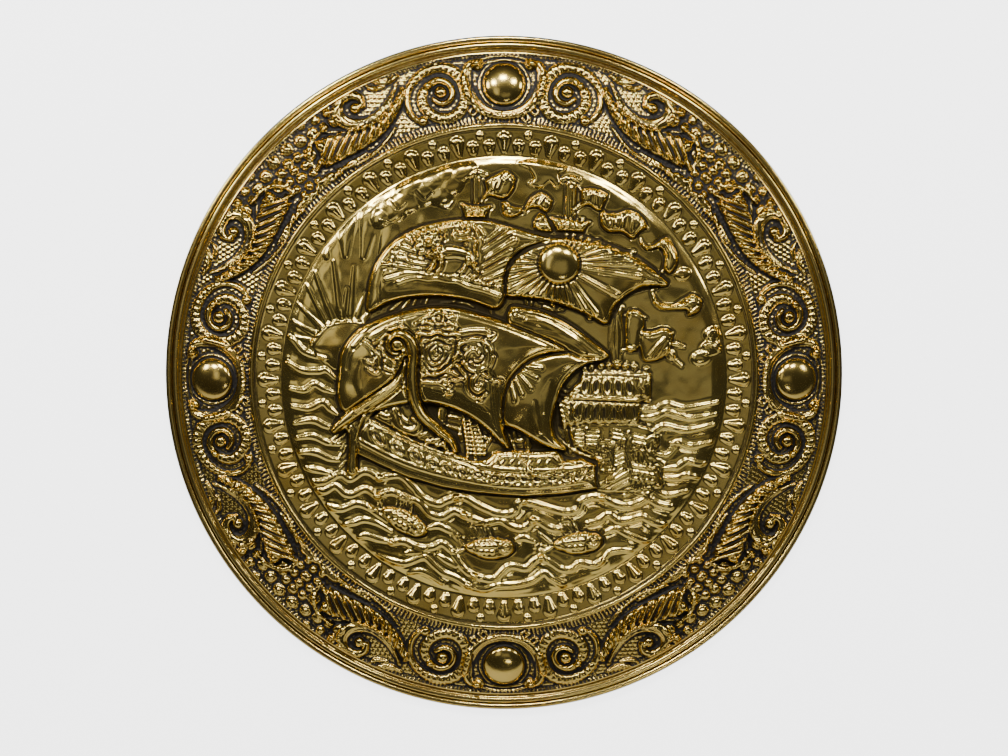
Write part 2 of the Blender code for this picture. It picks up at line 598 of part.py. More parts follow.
def plaque_sheet():
    """The whole sheet: its front, its back one thickness behind, and the rolled edge round both."""
    scene = Relief(-222, 222, -222, 222)
    for draw in (draw_sky, draw_sea, draw_castle, draw_hull, draw_rigging, draw_sails):
        draw(scene)
    border = Relief(-20, 242, 140, 328)
    draw_beads(border)
    draw_border(border)
    eighth_turn = math.pi / 4
    middle = polar_sheet(
        "middle", 0.0, MEDALLION_EDGE, math.tau, MEDALLION_GRID, scene, MEDALLION_TRIANGLES
    )
    eighth = polar_sheet("eighth", *BORDER_EDGES, eighth_turn, EIGHTH_GRID, border, EIGHTH_TRIANGLES)
    bm = bmesh.new()
    bm.from_mesh(eighth)
    straighten(bm, eighth_turn)
    bm.to_mesh(eighth)
    bm.free()
    bm = bmesh.new()
    bm.from_mesh(rim_ring())
    rim_loops = sorted(loops_from_middle(bm), key=lambda loop: loop[0].co.y)
    for rim_loop, behind in zip(rim_loops, (0.0, SHEET)):
        bm.from_mesh(sheet_face(middle, eighth, behind))
        join_loops(bm, loops_from_middle(bm)[0], rim_loop)
    bmesh.ops.recalc_face_normals(bm, faces=bm.faces)
    return finish_object("plaque_sheet", bm, brass_material("aged_brass", (0.50, 0.36, 0.13), 0.30))


def brass_material(name, colour, roughness):
    material = bpy.data.materials.new(name)
    material.use_nodes = True
    shader = material.node_tree.nodes["Principled BSDF"]
    shader.inputs["Base Color"].default_value = (*colour, 1)
    shader.inputs["Metallic"].default_value = 1.0
    shader.inputs["Roughness"].default_value = roughness
    return material


def finish_object(name, bm, material):
    mesh = bpy.data.meshes.new(name)
    bm.to_mesh(mesh)
    bm.free()
    mesh.materials.append(material)
    mesh.shade_smooth()
    mesh.set_sharp_from_angle(angle=math.radians(50))
    made = bpy.data.objects.new(name, mesh)
    bpy.data.collections["wall_plaque"].objects.link(made)
    return made


def cutter(name, radius, z, segments):
    """A cylinder through the strap, kept out of the model."""
    bpy.ops.mesh.primitive_cylinder_add(
        vertices=segments,
        radius=radius,
        depth=4 * STRAP_THICK,
        location=(0, 0, z),
        rotation=(math.pi / 2, 0, 0),
    )
    made = bpy.context.object
    made.name = name
    for collection in list(made.users_collection):
        collection.objects.unlink(made)
    bpy.data.collections["cutters"].objects.link(made)
    made.hide_render = True
    made.display_type = "WIRE"
    return made


def hanger_strap():
    """A flat bar across the back, its ends soldered to the rolled edge, with a hole for the nail."""
    half = math.sqrt(STRAP_REACH**2 - (STRAP_TOP - STRAP_TALL) ** 2) + CUT_SPARE
    bm = bmesh.new()
    bmesh.ops.create_cube(bm, size=1.0)
    bmesh.ops.scale(bm, vec=(2 * half, STRAP_THICK, STRAP_TALL), verts=bm.verts)
    bmesh.ops.translate(bm, vec=(0, -STRAP_THICK / 2, HOLE_BELOW_TOP - STRAP_TALL / 2), verts=bm.verts)
    strap = finish_object("hanger_strap", bm, brass_material("plain_brass", (0.46, 0.35, 0.16), 0.42))
    for title, operation, shape in (
        ("round_ends", "INTERSECT", cutter("strap_reach", STRAP_REACH, MIDDLE_Z, REACH_SEGMENTS)),
        ("nail_hole", "DIFFERENCE", cutter("nail_hole", NAIL_HOLE / 2, -NAIL_HOLE / 2, HOLE_SEGMENTS)),
    ):
        cut = strap.modifiers.new(title, "BOOLEAN")
        cut.operation = operation
        cut.object = shape
    return strap


for old in list(bpy.data.objects):
    bpy.data.objects.remove(old)
for title in ("wall_plaque", "cutters"):
    bpy.context.scene.collection.children.link(bpy.data.collections.new(title))
plaque_sheet()
hanger_strap()
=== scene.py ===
"""Round wall plaque in pressed brass, dressed: the sheet's full relief, its rolled edge and its back.

Metres, in the frame of the solids: the front faces -Y, and the origin is where the nail carries
the hanger strap. Each piece of the sheet stands for a part of the one pressed sheet.
"""

import math

import bmesh
import bpy
import numpy as np
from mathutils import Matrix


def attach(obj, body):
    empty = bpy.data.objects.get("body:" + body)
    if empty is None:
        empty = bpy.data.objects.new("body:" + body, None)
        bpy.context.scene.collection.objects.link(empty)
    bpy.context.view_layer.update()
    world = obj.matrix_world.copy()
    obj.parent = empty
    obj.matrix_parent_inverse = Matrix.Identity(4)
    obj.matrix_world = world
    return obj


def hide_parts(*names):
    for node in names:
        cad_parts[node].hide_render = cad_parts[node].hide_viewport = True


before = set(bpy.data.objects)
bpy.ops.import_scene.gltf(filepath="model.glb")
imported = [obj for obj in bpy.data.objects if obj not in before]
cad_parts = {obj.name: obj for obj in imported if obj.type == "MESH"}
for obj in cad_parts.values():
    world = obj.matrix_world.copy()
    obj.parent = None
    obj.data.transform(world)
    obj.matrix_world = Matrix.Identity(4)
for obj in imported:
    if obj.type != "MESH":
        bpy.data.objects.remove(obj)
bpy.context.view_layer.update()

# The pressed picture: a ship under full sail, a castle and the rising sun, with fish in the sea.
# Thin sheet brass, pressed over a die and chased from the front, polished on its high places.
PLAQUE_RADIUS = 0.305
MEDALLION_RADIUS = 0.1985
COLLAR_INNER = 0.2234
BORDER_INNER = 0.228
BORDER_OUTER = 0.2898
MIDDLE_Z = -0.279
SHEET = 0.0008
FOLD_HEIGHT = 0.0150
SHOULDER_HEIGHT = 0.0186
CROWN_HEIGHT = 0.0205
BORDER_INNER_HEIGHT = 0.0180
BORDER_OUTER_HEIGHT = 0.0066
COLLAR_HEIGHT = 0.0203
MM = 0.001
DEEPEST = 12.0
DEEPEST_SPARE = 3.2

# The relief is drawn on a grid round the plaque's middle, 220 squares to the medallion's edge
GRID_RADII = (0.0, 220.0, 247.0, 252.0, 321.0)
SHEET_RADII = (0.0, MEDALLION_RADIUS, COLLAR_INNER, BORDER_INNER, BORDER_OUTER)
STEP = 0.5
MEDALLION_RINGS = 220
INNER_RINGS = 155
MEDALLION_EDGE = GRID_RADII[1]
BORDER_EDGE = GRID_RADII[4]

# How boldly the strokes are drawn unless a piece says otherwise, and the groove chased round them
USUAL_GAIN = 0.65
USUAL_BREADTH = 1.1
USUAL_LINE = 0.6
CREASE_WIDTH = 1.9
CHASE_AWAY = 0.9
CHASE_SPREAD = 0.8
CHASE_DEPTH = 0.9
CHASE_REACH = 3.5
HILLS_SEED = 7
NORMAL_REACH = 0.9


def smooth_path(points, closed=False, steps=6):
    """A soft curve through the points, as an array of points."""
    given = np.array(points, float)
    if len(given) < 3:
        return given
    if closed:
        padded = np.vstack([given[-1], given, given[:2]])
    else:
        padded = np.vstack([2 * given[0] - given[1], given, 2 * given[-1] - given[-2]])
    share = np.linspace(0, 1, steps, endpoint=False)[:, None]
    parts = []
    for a, b, c, d in zip(padded, padded[1:], padded[2:], padded[3:]):
        bend = 2 * b + (c - a) * share
        bend = bend + (2 * a - 5 * b + 4 * c - d) * share**2
        bend = bend + (3 * b - a - 3 * c + d) * share**3
        parts.append(bend / 2)
    if not closed:
        parts.append(given[-1:])
    return np.vstack(parts)


def direction(degrees):
    """The share to the right and the share upwards of a heading in degrees from +Z."""
    return math.sin(math.radians(degrees)), math.cos(math.radians(degrees))


class Relief:
    """Heights over a window of the drawing grid, in millimetres, raised by strokes and plates."""

    def __init__(self, left, right, low, high):
        self.x = np.arange(left, right + STEP, STEP)
        self.z = np.arange(low, high + STEP, STEP)
        self.height = np.zeros((len(self.z), len(self.x)))
        self.ink = np.zeros_like(self.height)
        self.gain = USUAL_GAIN
        self.broad = USUAL_BREADTH
        self.lined = USUAL_LINE

    def window(self, points, margin):
        """The part of the map that a shape reaches, with its coordinates."""
        low = points.min(axis=0) - margin
        high = points.max(axis=0) + margin
        across = slice(*np.searchsorted(self.x, (low[0], high[0])))
        up = slice(*np.searchsorted(self.z, (low[1], high[1])))
        return (up, across), self.x[None, across], self.z[up, None]

    def ridge(self, points, width, height, closed=False, soft=True, power=0.8):
        """A rounded ridge along a path. Its width and height may run from one value to another."""
        path = smooth_path(points, closed) if soft else np.array(points, float)
        if closed:
            path = np.vstack([path, path[:1]])
        count = len(path)
        places = np.linspace(0, 1, count)
        widths = np.interp(places, np.linspace(0, 1, np.size(width)), np.ravel(width)) * self.broad
        heights = np.interp(places, np.linspace(0, 1, np.size(height)), np.ravel(height))
        sign = math.copysign(1, heights[len(heights) // 2])
        heights = heights * sign * self.gain
        margin = widths.max() / 2 + CHASE_REACH
        area, _, _ = self.window(path, margin)
        layer = np.zeros_like(self.height[area])
        outside = np.full(layer.shape, 9.0)
        low, left = area[0].start, area[1].start
        for i in range(count - 1):
            a, b = path[i], path[i + 1]
            here, x, z = self.window(path[i : i + 2], margin)
            run = b - a
            length = max(run @ run, 1e-9)
            along = np.clip(((x - a[0]) * run[0] + (z - a[1]) * run[1]) / length, 0, 1)
            away = np.hypot(x - a[0] - along * run[0], z - a[1] - along * run[1])
            half = (widths[i] + (widths[i + 1] - widths[i]) * along) / 2
            rise = heights[i] + (heights[i + 1] - heights[i]) * along
            shape = rise * np.clip(1 - (away / half) ** 2, 0, None) ** power
            inner = (
                slice(here[0].start - low, here[0].stop - low),
                slice(here[1].start - left, here[1].stop - left),
            )
            layer[inner] = np.maximum(layer[inner], shape)
            outside[inner] = np.minimum(outside[inner], away - half)
        if sign > 0:
            self.chase(area, outside, layer)
        else:
            self.ink[area] = np.maximum(self.ink[area], np.clip(-outside, 0, 1) * (self.lined > 0))
            self.height[area] -= layer

    def chase(self, area, outside, layer):
        """Adds a raised shape, with a fine dark groove chased round it."""
        groove = np.exp(-(((outside - CHASE_AWAY) / CHASE_SPREAD) ** 2)) * self.lined
        cover = np.clip(-outside, 0, 1)
        self.ink[area] = np.maximum(self.ink[area] * (1 - cover), groove)
        self.height[area] += layer - CHASE_DEPTH * groove

    def strokes(self, width, height, *paths):
        for path in paths:
            self.ridge(path, width, height)

    def creased(self, points, width, height, cut=0.45):
        """A ridge with a fine line chased along its top."""
        self.ridge(points, width, height)
        self.ridge(points, CREASE_WIDTH, -cut * height)

    def dome(self, x, z, radius, height, tall=1.0, turn=0.0, power=0.5, highest=False):
        """A rounded boss, stretched by `tall` along the direction `turn`, in degrees from +Z."""
        reach = radius * max(tall, 1.0) + 3
        area, gx, gz = self.window(np.array([(x, z)], float), reach)
        sine, cosine = direction(turn)
        along = (gx - x) * sine + (gz - z) * cosine
        side = (gx - x) * cosine - (gz - z) * sine
        far = (along / (radius * tall)) ** 2 + (side / radius) ** 2
        shape = height * np.clip(1 - far, 0, None) ** power
        if height > 0:
            below = self.height[area].copy()
            self.chase(area, (np.sqrt(far) - 1) * radius, shape)
            if highest:
                self.height[area] = np.maximum(below, shape)
        else:
            self.ink[area] = np.maximum(self.ink[area], np.clip(1.4 - far, 0, 1) * (self.lined > 0))
            self.height[area] += shape

    def ring(self, x, z, radius, width, height, tall=1.0, turn=0.0):
        """A raised ring, drawn out by `tall` along the direction `turn`."""
        sine, cosine = direction(turn)
        loop = []
        for i in range(16):
            angle = math.tau * i / 16
            side, along = radius * math.sin(angle), radius * tall * math.cos(angle)
            loop.append((x + side * cosine + along * sine, z - side * sine + along * cosine))
        self.ridge(loop, width, height, closed=True)

    def plate(self, points, level, bulge=0.0, edge=3.0, soft=True, over=True):
        """A raised shape with a rounded edge. It hides what lies under it, or else adds to it."""
        path = smooth_path(points, True, 5) if soft else np.array(points, float)
        area, x, z = self.window(path, CHASE_REACH)
        inside = np.zeros(np.broadcast(x, z).shape, bool)
        away = np.full(inside.shape, 1e6)
        for a, b in zip(path, np.roll(path, -1, axis=0)):
            run = b - a
            if run[1] != 0:
                crosses = (z >= min(a[1], b[1])) & (z < max(a[1], b[1]))
                inside ^= crosses & (x < a[0] + (z - a[1]) * run[0] / run[1])
            length = max(run @ run, 1e-9)
            along = np.clip(((x - a[0]) * run[0] + (z - a[1]) * run[1]) / length, 0, 1)
            away = np.minimum(away, np.hypot(x - a[0] - along * run[0], z - a[1] - along * run[1]))
        deep = away[inside].max()
        lip = np.sqrt(1 - (1 - np.clip(away / edge, 0, 1)) ** 2)
        swell = np.sqrt(np.clip(1 - (1 - away / deep) ** 2, 0, None))
        shape = level * (0.35 + 0.65 * lip) + bulge * swell
        below = self.height[area]
        if over:
            self.height[area] = np.where(inside, 0, below)
            self.ink[area] = np.where(inside, 0, self.ink[area])
        self.chase(area, np.where(inside, -away, away), np.where(inside, shape, 0))

    def band(self, points, width, level, bulge=0.0, edge=3.0):
        """A plate of even or changing width along a path."""
        path = smooth_path(points)
        widths = np.interp(np.linspace(0, 1, len(path)), np.linspace(0, 1, np.size(width)), np.ravel(width))
        run = np.gradient(path, axis=0)
        run /= np.linalg.norm(run, axis=1)[:, None]
        side = np.stack([-run[:, 1], run[:, 0]], axis=1) * widths[:, None] / 2
        self.plate(np.vstack([path + side, (path - side)[::-1]]), level, bulge, edge, soft=False)

    def places(self, points, pitch):
        """Evenly spaced places along a path, with the direction of the path at each."""
        path = smooth_path(points, steps=10)
        runs = np.hypot(*np.diff(path, axis=0).T)
        far = np.concatenate([[0], np.cumsum(runs)])
        count = max(int(far[-1] / pitch), 1)
        for here in (np.arange(count) + 0.5) * far[-1] / count:
            i = min(int(np.searchsorted(far, here)) - 1, len(path) - 2)
            step = path[i + 1] - path[i]
            step = step / max(np.hypot(*step), 1e-9)
            yield path[i] + step * (here - far[i]), step, here / far[-1]

    def studs(self, points, pitch, radius, height, tall=1.0):
        """A row of small bosses, or pits, along a path."""
        for place, step, _ in self.places(points, pitch):
            turn = math.degrees(math.atan2(step[0], step[1]))
            self.dome(place[0], place[1], radius, height, tall, turn)

    def ribs(self, points, pitch, half, width, height, slant=0.0):
        """Short bars across a path, square to it or slanting, `half` of each on either side."""
        for place, step, share in self.places(points, pitch):
            reach = np.interp(share, np.linspace(0, 1, np.size(half)), np.ravel(half))
            wide = np.interp(share, np.linspace(0, 1, np.size(width)), np.ravel(width))
            turn = math.atan2(step[0], step[1]) + math.radians(90 + slant)
            arm = reach * np.array([math.sin(turn), math.cos(turn)])
            self.ridge([place - arm, place + arm], (0.7 * wide, wide, 0.7 * wide), height)

    def rays(self, x, z, start, ends, width, height):
        """Straight rays from a point: each has a heading in degrees from +Z, and where it ends."""
        for heading, end in ends:
            sine, cosine = direction(heading)
            ends_at = [(x + start * sine, z + start * cosine), (x + end * sine, z + end * cosine)]
            self.ridge(ends_at, width, height)

    def softened(self, reach, height=None):
        """The map smoothed over a reach in grid squares."""
        height = self.height if height is None else height
        up = np.fft.fftfreq(height.shape[0], STEP)[:, None]
        across = np.fft.rfftfreq(height.shape[1], STEP)[None, :]
        keep = np.exp(-2 * (math.pi * reach) ** 2 * (up**2 + across**2))
        return np.fft.irfft2(np.fft.rfft2(height) * keep, s=height.shape)

    def finish(self, undulation):
        """Lays soft hills under the drawing, rounds it as pressed metal is, and finds its hollows."""
        rough = np.random.default_rng(HILLS_SEED).normal(size=self.height.shape)
        hills = self.softened(7.0, rough) + 0.35 * self.softened(3.0, rough) * 3 / 7
        self.height += undulation * hills / hills.std()
        high = np.clip(self.height - DEEPEST, 0, None)
        self.height -= high - DEEPEST_SPARE * np.tanh(high / DEEPEST_SPARE)
        self.height = self.softened(0.6)
        near = self.softened(2.2) - self.height
        wide = self.softened(7.0) - self.height
        self.hollow = np.clip(0.4 * near + 0.4 * wide, -1.5, 1.5)
        self.hollow += 1.5 * self.softened(0.35, self.ink)

    def read(self, x, z, values=None):
        """The height at points of the drawing grid."""
        values = self.height if values is None else values
        u = np.clip((x - self.x[0]) / STEP, 0, len(self.x) - 1.001)
        v = np.clip((z - self.z[0]) / STEP, 0, len(self.z) - 1.001)
        i, j = u.astype(int), v.astype(int)
        u, v = u - i, v - j
        low = values[j, i] * (1 - u) + values[j, i + 1] * u
        high = values[j + 1, i] * (1 - u) + values[j + 1, i + 1] * u
        return low * (1 - v) + high * v


def draw_sky(r):
    """The low sun with its rays, and the clouds."""
    r.lined = 0.25
    r.rays(-156, 25, 98, ((-31, 190), (-21, 200), (-11, 150), (0, 130), (10, 140), (20, 130)), (5, 17), 1.3)
    disc = [
        (-192, 34), (-186, 44), (-176, 53), (-165, 58), (-150, 59), (-137, 56), (-125, 40), (-125, 10),
        (-160, 8), (-178, 18),
    ]
    r.plate(disc, 1.4, 2.0, edge=5)
    r.ridge([(-189, 37), (-184, 44), (-176, 53), (-165, 57.5), (-150, 59), (-137, 56)], 5, 1.4)
    rays = (
        ((-212, 60), (-186, 46)),
        ((-205, 77), (-181, 53)),
        ((-195, 95), (-175, 56)),
        ((-187, 108), (-169, 59)),
        ((-168, 118), (-161, 62)),
        ((-155, 90), (-159, 63)),
        ((-148, 112), (-152, 63)),
        ((-137, 86), (-146, 61)),
        ((-131, 70), (-139, 59)),
        ((-206, 43), (-191, 39)),
    )
    r.strokes((2.6, 6), (1.0, 1.9), *rays)
    clouds = (
        (-121, 160, 10), (-108, 168, 13), (-96, 176, 13), (-92, 190, 12), (-79, 184, 13), (-70, 195, 12),
        (-62, 183, 11), (-52, 192, 11), (-44, 203, 11), (-58, 203, 10), (-36, 205, 9),
    )
    for x, z, size in clouds:
        r.dome(x, z, size, 2.6, 1.3, 65, power=0.8, highest=True)
    r.strokes(2.4, -1.2, [(-112, 176), (-104, 168), (-96, 174)], [(-86, 186), (-78, 178), (-70, 185)])
    r.strokes((2, 3, 2), 1.2, [(-122, 158), (-112, 156), (-102, 162)], [(-64, 172), (-56, 170), (-50, 176)])
    upper_cloud = [
        (14, 214), (24, 208), (29, 198), (24, 194), (30, 190), (38, 190), (45, 195), (51, 189), (56, 194),
        (54, 203), (62, 208), (60, 216), (38, 218),
    ]
    r.plate(upper_cloud, 1.6, 1.0)
    right_clouds = ((207, 46, 7), (205, 32, 8), (195, 22, 7), (176, 105, 6))
    for x, z, size in right_clouds:
        r.dome(x, z, size, 2.0, 1.4, 80)
    r.strokes((2, 3.4, 2), 1.5, [(201, 44), (207, 50), (214, 44)], [(197, 34), (204, 36), (215, 28)])
    r.lined = USUAL_LINE


def draw_fish(r, x, z, turn):
    """A fish with its fins, scales and eye, swimming `turn` degrees from +Z."""
    sine, cosine = direction(turn)

    def at(far, up):
        return (x + far * sine - up * cosine, z + far * cosine + up * sine)

    r.plate(
        [at(-26, 0), at(-12, 8), at(6, 10), at(20, 6), at(25, 0), at(18, -9), at(0, -12), at(-14, -8)], 1.2,
        3.4, over=False,
    )
    r.strokes((2.4, 3), 1.6, [at(-26, 2), at(-33, 9), at(-36, 12)], [at(-26, -2), at(-34, -5), at(-38, -4)])
    for i in range(5):
        r.ridge([at(-10 + 3 * i, 8), at(-16 + 3.6 * i, 20 - 0.4 * i)], (3, 2), 1.4)
    r.ridge([at(2, 8), at(-6, 22), at(-14, 23)], 2.4, 1.3)
    r.ridge([at(8, 10), at(8, -11)], 2.2, 1.0)
    for row in range(2):
        for i in range(4):
            r.dome(*at(-14 + 5.4 * i + 2.6 * row, -4 + 6 * row), 2.7, 0.8)
    r.ring(*at(16, 1), 5.8, 2.4, 1.8)
    r.dome(*at(16, 1), 2.4, 1.4)
    r.ridge([at(8, -8), at(16, -8), at(24, -3)], 2.2, 1.2)


def draw_sea(r):
    """The wave crests, each with a line chased along it, and the three fish."""
    short = (
        ((-214, 44), (-206, 38), (-198, 29), (-186, 24), (-176, 22)),
        ((-214, 18), (-200, 10), (-184, 9), (-176, 10), (-166, 1)),
        ((-212, -8), (-198, -10), (-188, -4), (-178, -9), (-166, -13)),
        ((-210, -26), (-194, -28), (-180, -22), (-172, -29), (-162, -36)),
        ((-208, -43), (-190, -40), (-178, -45), (-166, -49)),
        ((-206, -58), (-190, -56), (-176, -62), (-164, -64)),
        ((-204, -72), (-188, -72), (-174, -78), (-164, -80)),
        ((-198, -88), (-186, -90), (-172, -93)),
        ((136, -29), (150, -29), (162, -24), (180, -28), (212, -22)),
        ((132, -37), (148, -37), (162, -32), (186, -38), (210, -34)),
        ((134, -51), (146, -54), (158, -46), (182, -50), (208, -44)),
        ((166, -63), (174, -62), (186, -66), (206, -62)),
        ((160, -88), (172, -87), (182, -81), (196, -84), (204, -82)),
        ((160, -98), (172, -98), (182, -95), (196, -98)),
        ((120, -115), (128, -111), (142, -114), (150, -109), (162, -115), (182, -111)),
        ((-78, -149), (-66, -146), (-56, -150), (-46, -156)),
        ((12, -160), (20, -158), (30, -162)),
        ((102, -152), (112, -149), (124, -155), (142, -162), (152, -162)),
        ((-162, -146), (-150, -143), (-140, -140), (-128, -143), (-112, -152)),
        ((-146, -158), (-138, -156), (-124, -160), (-112, -163)),
        ((-98, -174), (-90, -172), (-82, -173)),
        ((-66, -176), (-56, -182), (-48, -187)),
        ((-98, -196), (-86, -192), (-76, -195), (-62, -205)),
        ((98, -182), (106, -173), (116, -171), (128, -171)),
    )
    for crest in short:
        r.lined = 0
        r.ridge(crest, 13, 1.2, power=1.0)
        r.lined = 0.45
        r.ridge(crest, (3, 6, 5.6, 3), 1.9)
    long = (
        (
            (-192, -103), (-178, -101), (-166, -95), (-160, -95), (-153, -99), (-142, -92), (-134, -92),
            (-124, -98),
        ),
        (
            (-124, -98), (-108, -95), (-100, -97), (-90, -107), (-80, -118), (-66, -124), (-58, -121),
            (-48, -117),
        ),
        ((-48, -117), (-38, -118), (-24, -126), (-8, -133), (4, -134), (11, -131), (14, -124), (20, -121)),
        ((20, -121), (32, -124), (48, -129), (62, -132), (73, -129), (77, -121), (88, -117), (98, -118)),
        ((98, -118), (112, -124), (124, -126), (134, -123), (144, -119), (154, -124), (166, -127)),
        ((-188, -112), (-178, -111), (-168, -106), (-158, -114), (-150, -114), (-138, -109), (-126, -116)),
        (
            (-126, -116), (-112, -112), (-98, -118), (-84, -123), (-74, -134), (-62, -137), (-50, -131),
            (-40, -135),
        ),
        ((-40, -135), (-28, -140), (-18, -143), (-4, -141), (8, -147), (16, -149), (24, -146), (29, -140)),
        ((29, -140), (36, -142), (46, -148), (56, -150)),
        ((-176, -127), (-162, -129), (-148, -124), (-136, -127), (-124, -135), (-116, -140)),
        (
            (-112, -163), (-100, -162), (-86, -168), (-72, -168), (-62, -164), (-52, -172), (-40, -190),
            (-30, -197),
        ),
        ((-30, -197), (-18, -200), (-8, -199), (2, -189), (10, -187), (22, -189), (30, -182), (37, -178)),
        ((37, -178), (48, -184), (58, -190), (68, -190), (76, -184), (90, -186), (98, -182)),
        (
            (-126, -178), (-112, -182), (-98, -184), (-80, -178), (-70, -186), (-60, -194), (-48, -199),
            (-36, -207),
        ),
        ((-36, -207), (-20, -211), (-6, -207), (12, -206), (28, -202), (40, -194), (48, -200), (60, -207)),
        (
            (84, -144), (94, -141), (104, -135), (114, -141), (126, -140), (138, -137), (148, -142),
            (162, -147),
        ),
    )
    for crest in long:
        r.lined = 0
        r.ridge(crest, 16, 1.4, power=1.0)
        r.lined = 0.45
        r.ridge(crest, 6.2, 2.2)
    r.lined = USUAL_LINE
    for x, z, turn in ((-99, -141, 119), (-14, -168, 90), (74, -163, 84)):
        draw_fish(r, x, z, turn)


def draw_castle(r):
    """The round castle on the right: battlements, two rows of arched windows and its flags."""
    mast = [(112, 16), (112, 54), (116, 72)]
    r.ridge(mast, (9, 7, 5), 1.4)
    r.strokes(2.2, 1.0, [(108, 18), (106, 40), (108, 66)], [(116, 18), (117, 44), (114, 70)])
    r.plate([(121, 66), (130, 69), (138, 62), (137, 45), (132, 31), (121, 31)], 1.6, 2.0)
    r.strokes(2.4, 1.2, [(119, 64), (130, 68), (140, 61)], [(117, 29), (124, 32), (131, 30)])
    r.plate(
        [(134, 47), (146, 48), (158, 51), (166, 46), (165, 34), (158, 23), (146, 19), (137, 22)], 2.2, 2.6,
    )
    r.creased([(136, 47), (147, 47), (158, 50), (166, 46)], 4, 1.4)
    r.strokes(2.6, 1.0, [(143, 24), (150, 33), (158, 42)], [(152, 22), (158, 31), (162, 38)])
    r.strokes((2, 4, 2), 1.8, [(160, 30), (166, 36), (178, 33)], [(163, 29), (168, 21), (176, 14)])
    r.dome(164, 26, 5, 1.4, 1.4, 150)
    bastion = [
        (66, -10), (74, -2), (78, 8), (146, 6), (145, -18), (136, -21), (134, -45), (56, -45), (54, -22),
    ]
    r.plate(bastion, 2.4, 2.6, edge=6, soft=False)
    r.strokes(3.2, 1.7, [(82, 8.5), (112, 8.5), (143, 6.5)], [(66, -16.5), (105, -18), (144, -20.5)])
    r.ridge([(56, -9), (64, -12.5), (73, -11)], 2.6, 1.4)
    r.strokes(2.4, -1.4, [(79, 5.4), (112, 5.2), (145, 3.2)], [(66, -19.6), (105, -21), (143, -23.5)])
    for x, z in ((80, 11), (86, 13), (96, 13.5), (104, 14), (112, 14), (120, 13), (129, 12), (141, 10)):
        r.dome(x, z, 3.0, 1.8, 1.2)
    for i, x in enumerate((80, 91, 102, 113, 123.5)):
        r.ring(x, -6 - 0.3 * i, 3.4, 2.0, 1.3, 2.3, 4 * (2 - i))
        r.dome(x, -6 - 0.3 * i, 2.2, -0.5, 2.8, 4 * (2 - i))
    r.strokes(
        2.0, 1.2, [(134, -6), (137, 0), (144, -1)], [(137, -8), (139, -3), (142, -2)],
        [(139, -6), (139, -15)],
    )
    for i, x in enumerate((72, 81, 90, 99, 109, 119, 129)):
        r.ring(x, -32, 3.0, 1.9, 1.2, 3.0, 3 * (3 - i))
        r.dome(x, -32, 1.9, -0.5, 3.9, 3 * (3 - i))
    r.strokes(3, 1.5, [(58, -46), (98, -45), (137, -44)])
    r.ribs([(60, -14), (60, -44)], 4.6, 5, 2.0, 0.9, 20)


def draw_harbour(r):
    """The landing and the small craft under the castle."""
    r.gain = 0.5
    r.plate(
        [(70, -46), (134, -45), (152, -58), (150, -86), (156, -108), (92, -110), (92, -80), (72, -66)], 1.6,
        1.2,
    )
    r.ribs([(75, -48), (75, -68)], 3.8, 3.6, 2.2, 1.3)
    r.ribs([(88, -50), (88, -66)], 3.4, 6, 2.0, 1.2)
    r.ribs([(113, -48), (113, -60)], 3.6, 6, 2.0, 1.2, 12)
    r.strokes(
        2.4, 1.4, [(82, -48), (81, -70)], [(95, -50), (95, -66)], [(94, -62), (110, -63)],
        [(96, -90), (109, -90)],
    )
    r.strokes(2.2, 1.3, [(95, -64), (96, -88)], [(108, -62), (107, -88)])
    for i in range(3):
        r.ring(101.5, -68.5 - 8 * i, 3.2, 1.8, 1.1, 1.1)
    r.ribs([(115, -68), (115, -86)], 4.2, 4.4, 2.2, 1.3, -24)
    r.strokes(2.6, 1.5, [(124, -51), (119, -64), (121, -76), (126, -88)], [(128, -56), (140, -59)])
    r.strokes(
        2.2, 1.2, [(96, -106), (108, -100), (124, -91)], [(104, -100), (118, -88)],
        [(110, -109), (125, -101)],
    )
    r.strokes(2.2, 1.2, [(128, -62), (140, -64)], [(128, -68), (138, -71)], [(126, -58), (127, -72)])
    r.ribs([(131, -66), (131, -84)], 20, 0.2, 2, 1.2)
    r.strokes(2.4, 1.2, [(132, -72), (132, -82)], [(138, -70), (138, -80), (145, -87)])
    r.creased([(145, -76), (141, -66), (145, -58), (152, -58), (152, -64)], 4.4, 2.0)
    r.creased([(144, -72), (149, -78), (160, -84)], 4, 1.8)
    r.strokes(2.6, 1.4, [(151, -74), (162, -75), (169, -69), (172, -63)])
    r.strokes(
        2.8, 1.5, [(128, -85), (140, -87), (149, -89)], [(129, -91), (148, -95)], [(129, -98), (148, -101)],
    )
    r.studs([(132, -94.5), (147, -98)], 5, 1.9, 1.2)
    r.strokes(2.0, 1.1, [(130, -101), (128, -110)], [(135, -101), (134, -110)], [(140, -102), (140, -109)])
    r.ridge([(152, -86), (151, -98), (155, -108)], (5, 9, 6), 1.6)
    r.gain = USUAL_GAIN


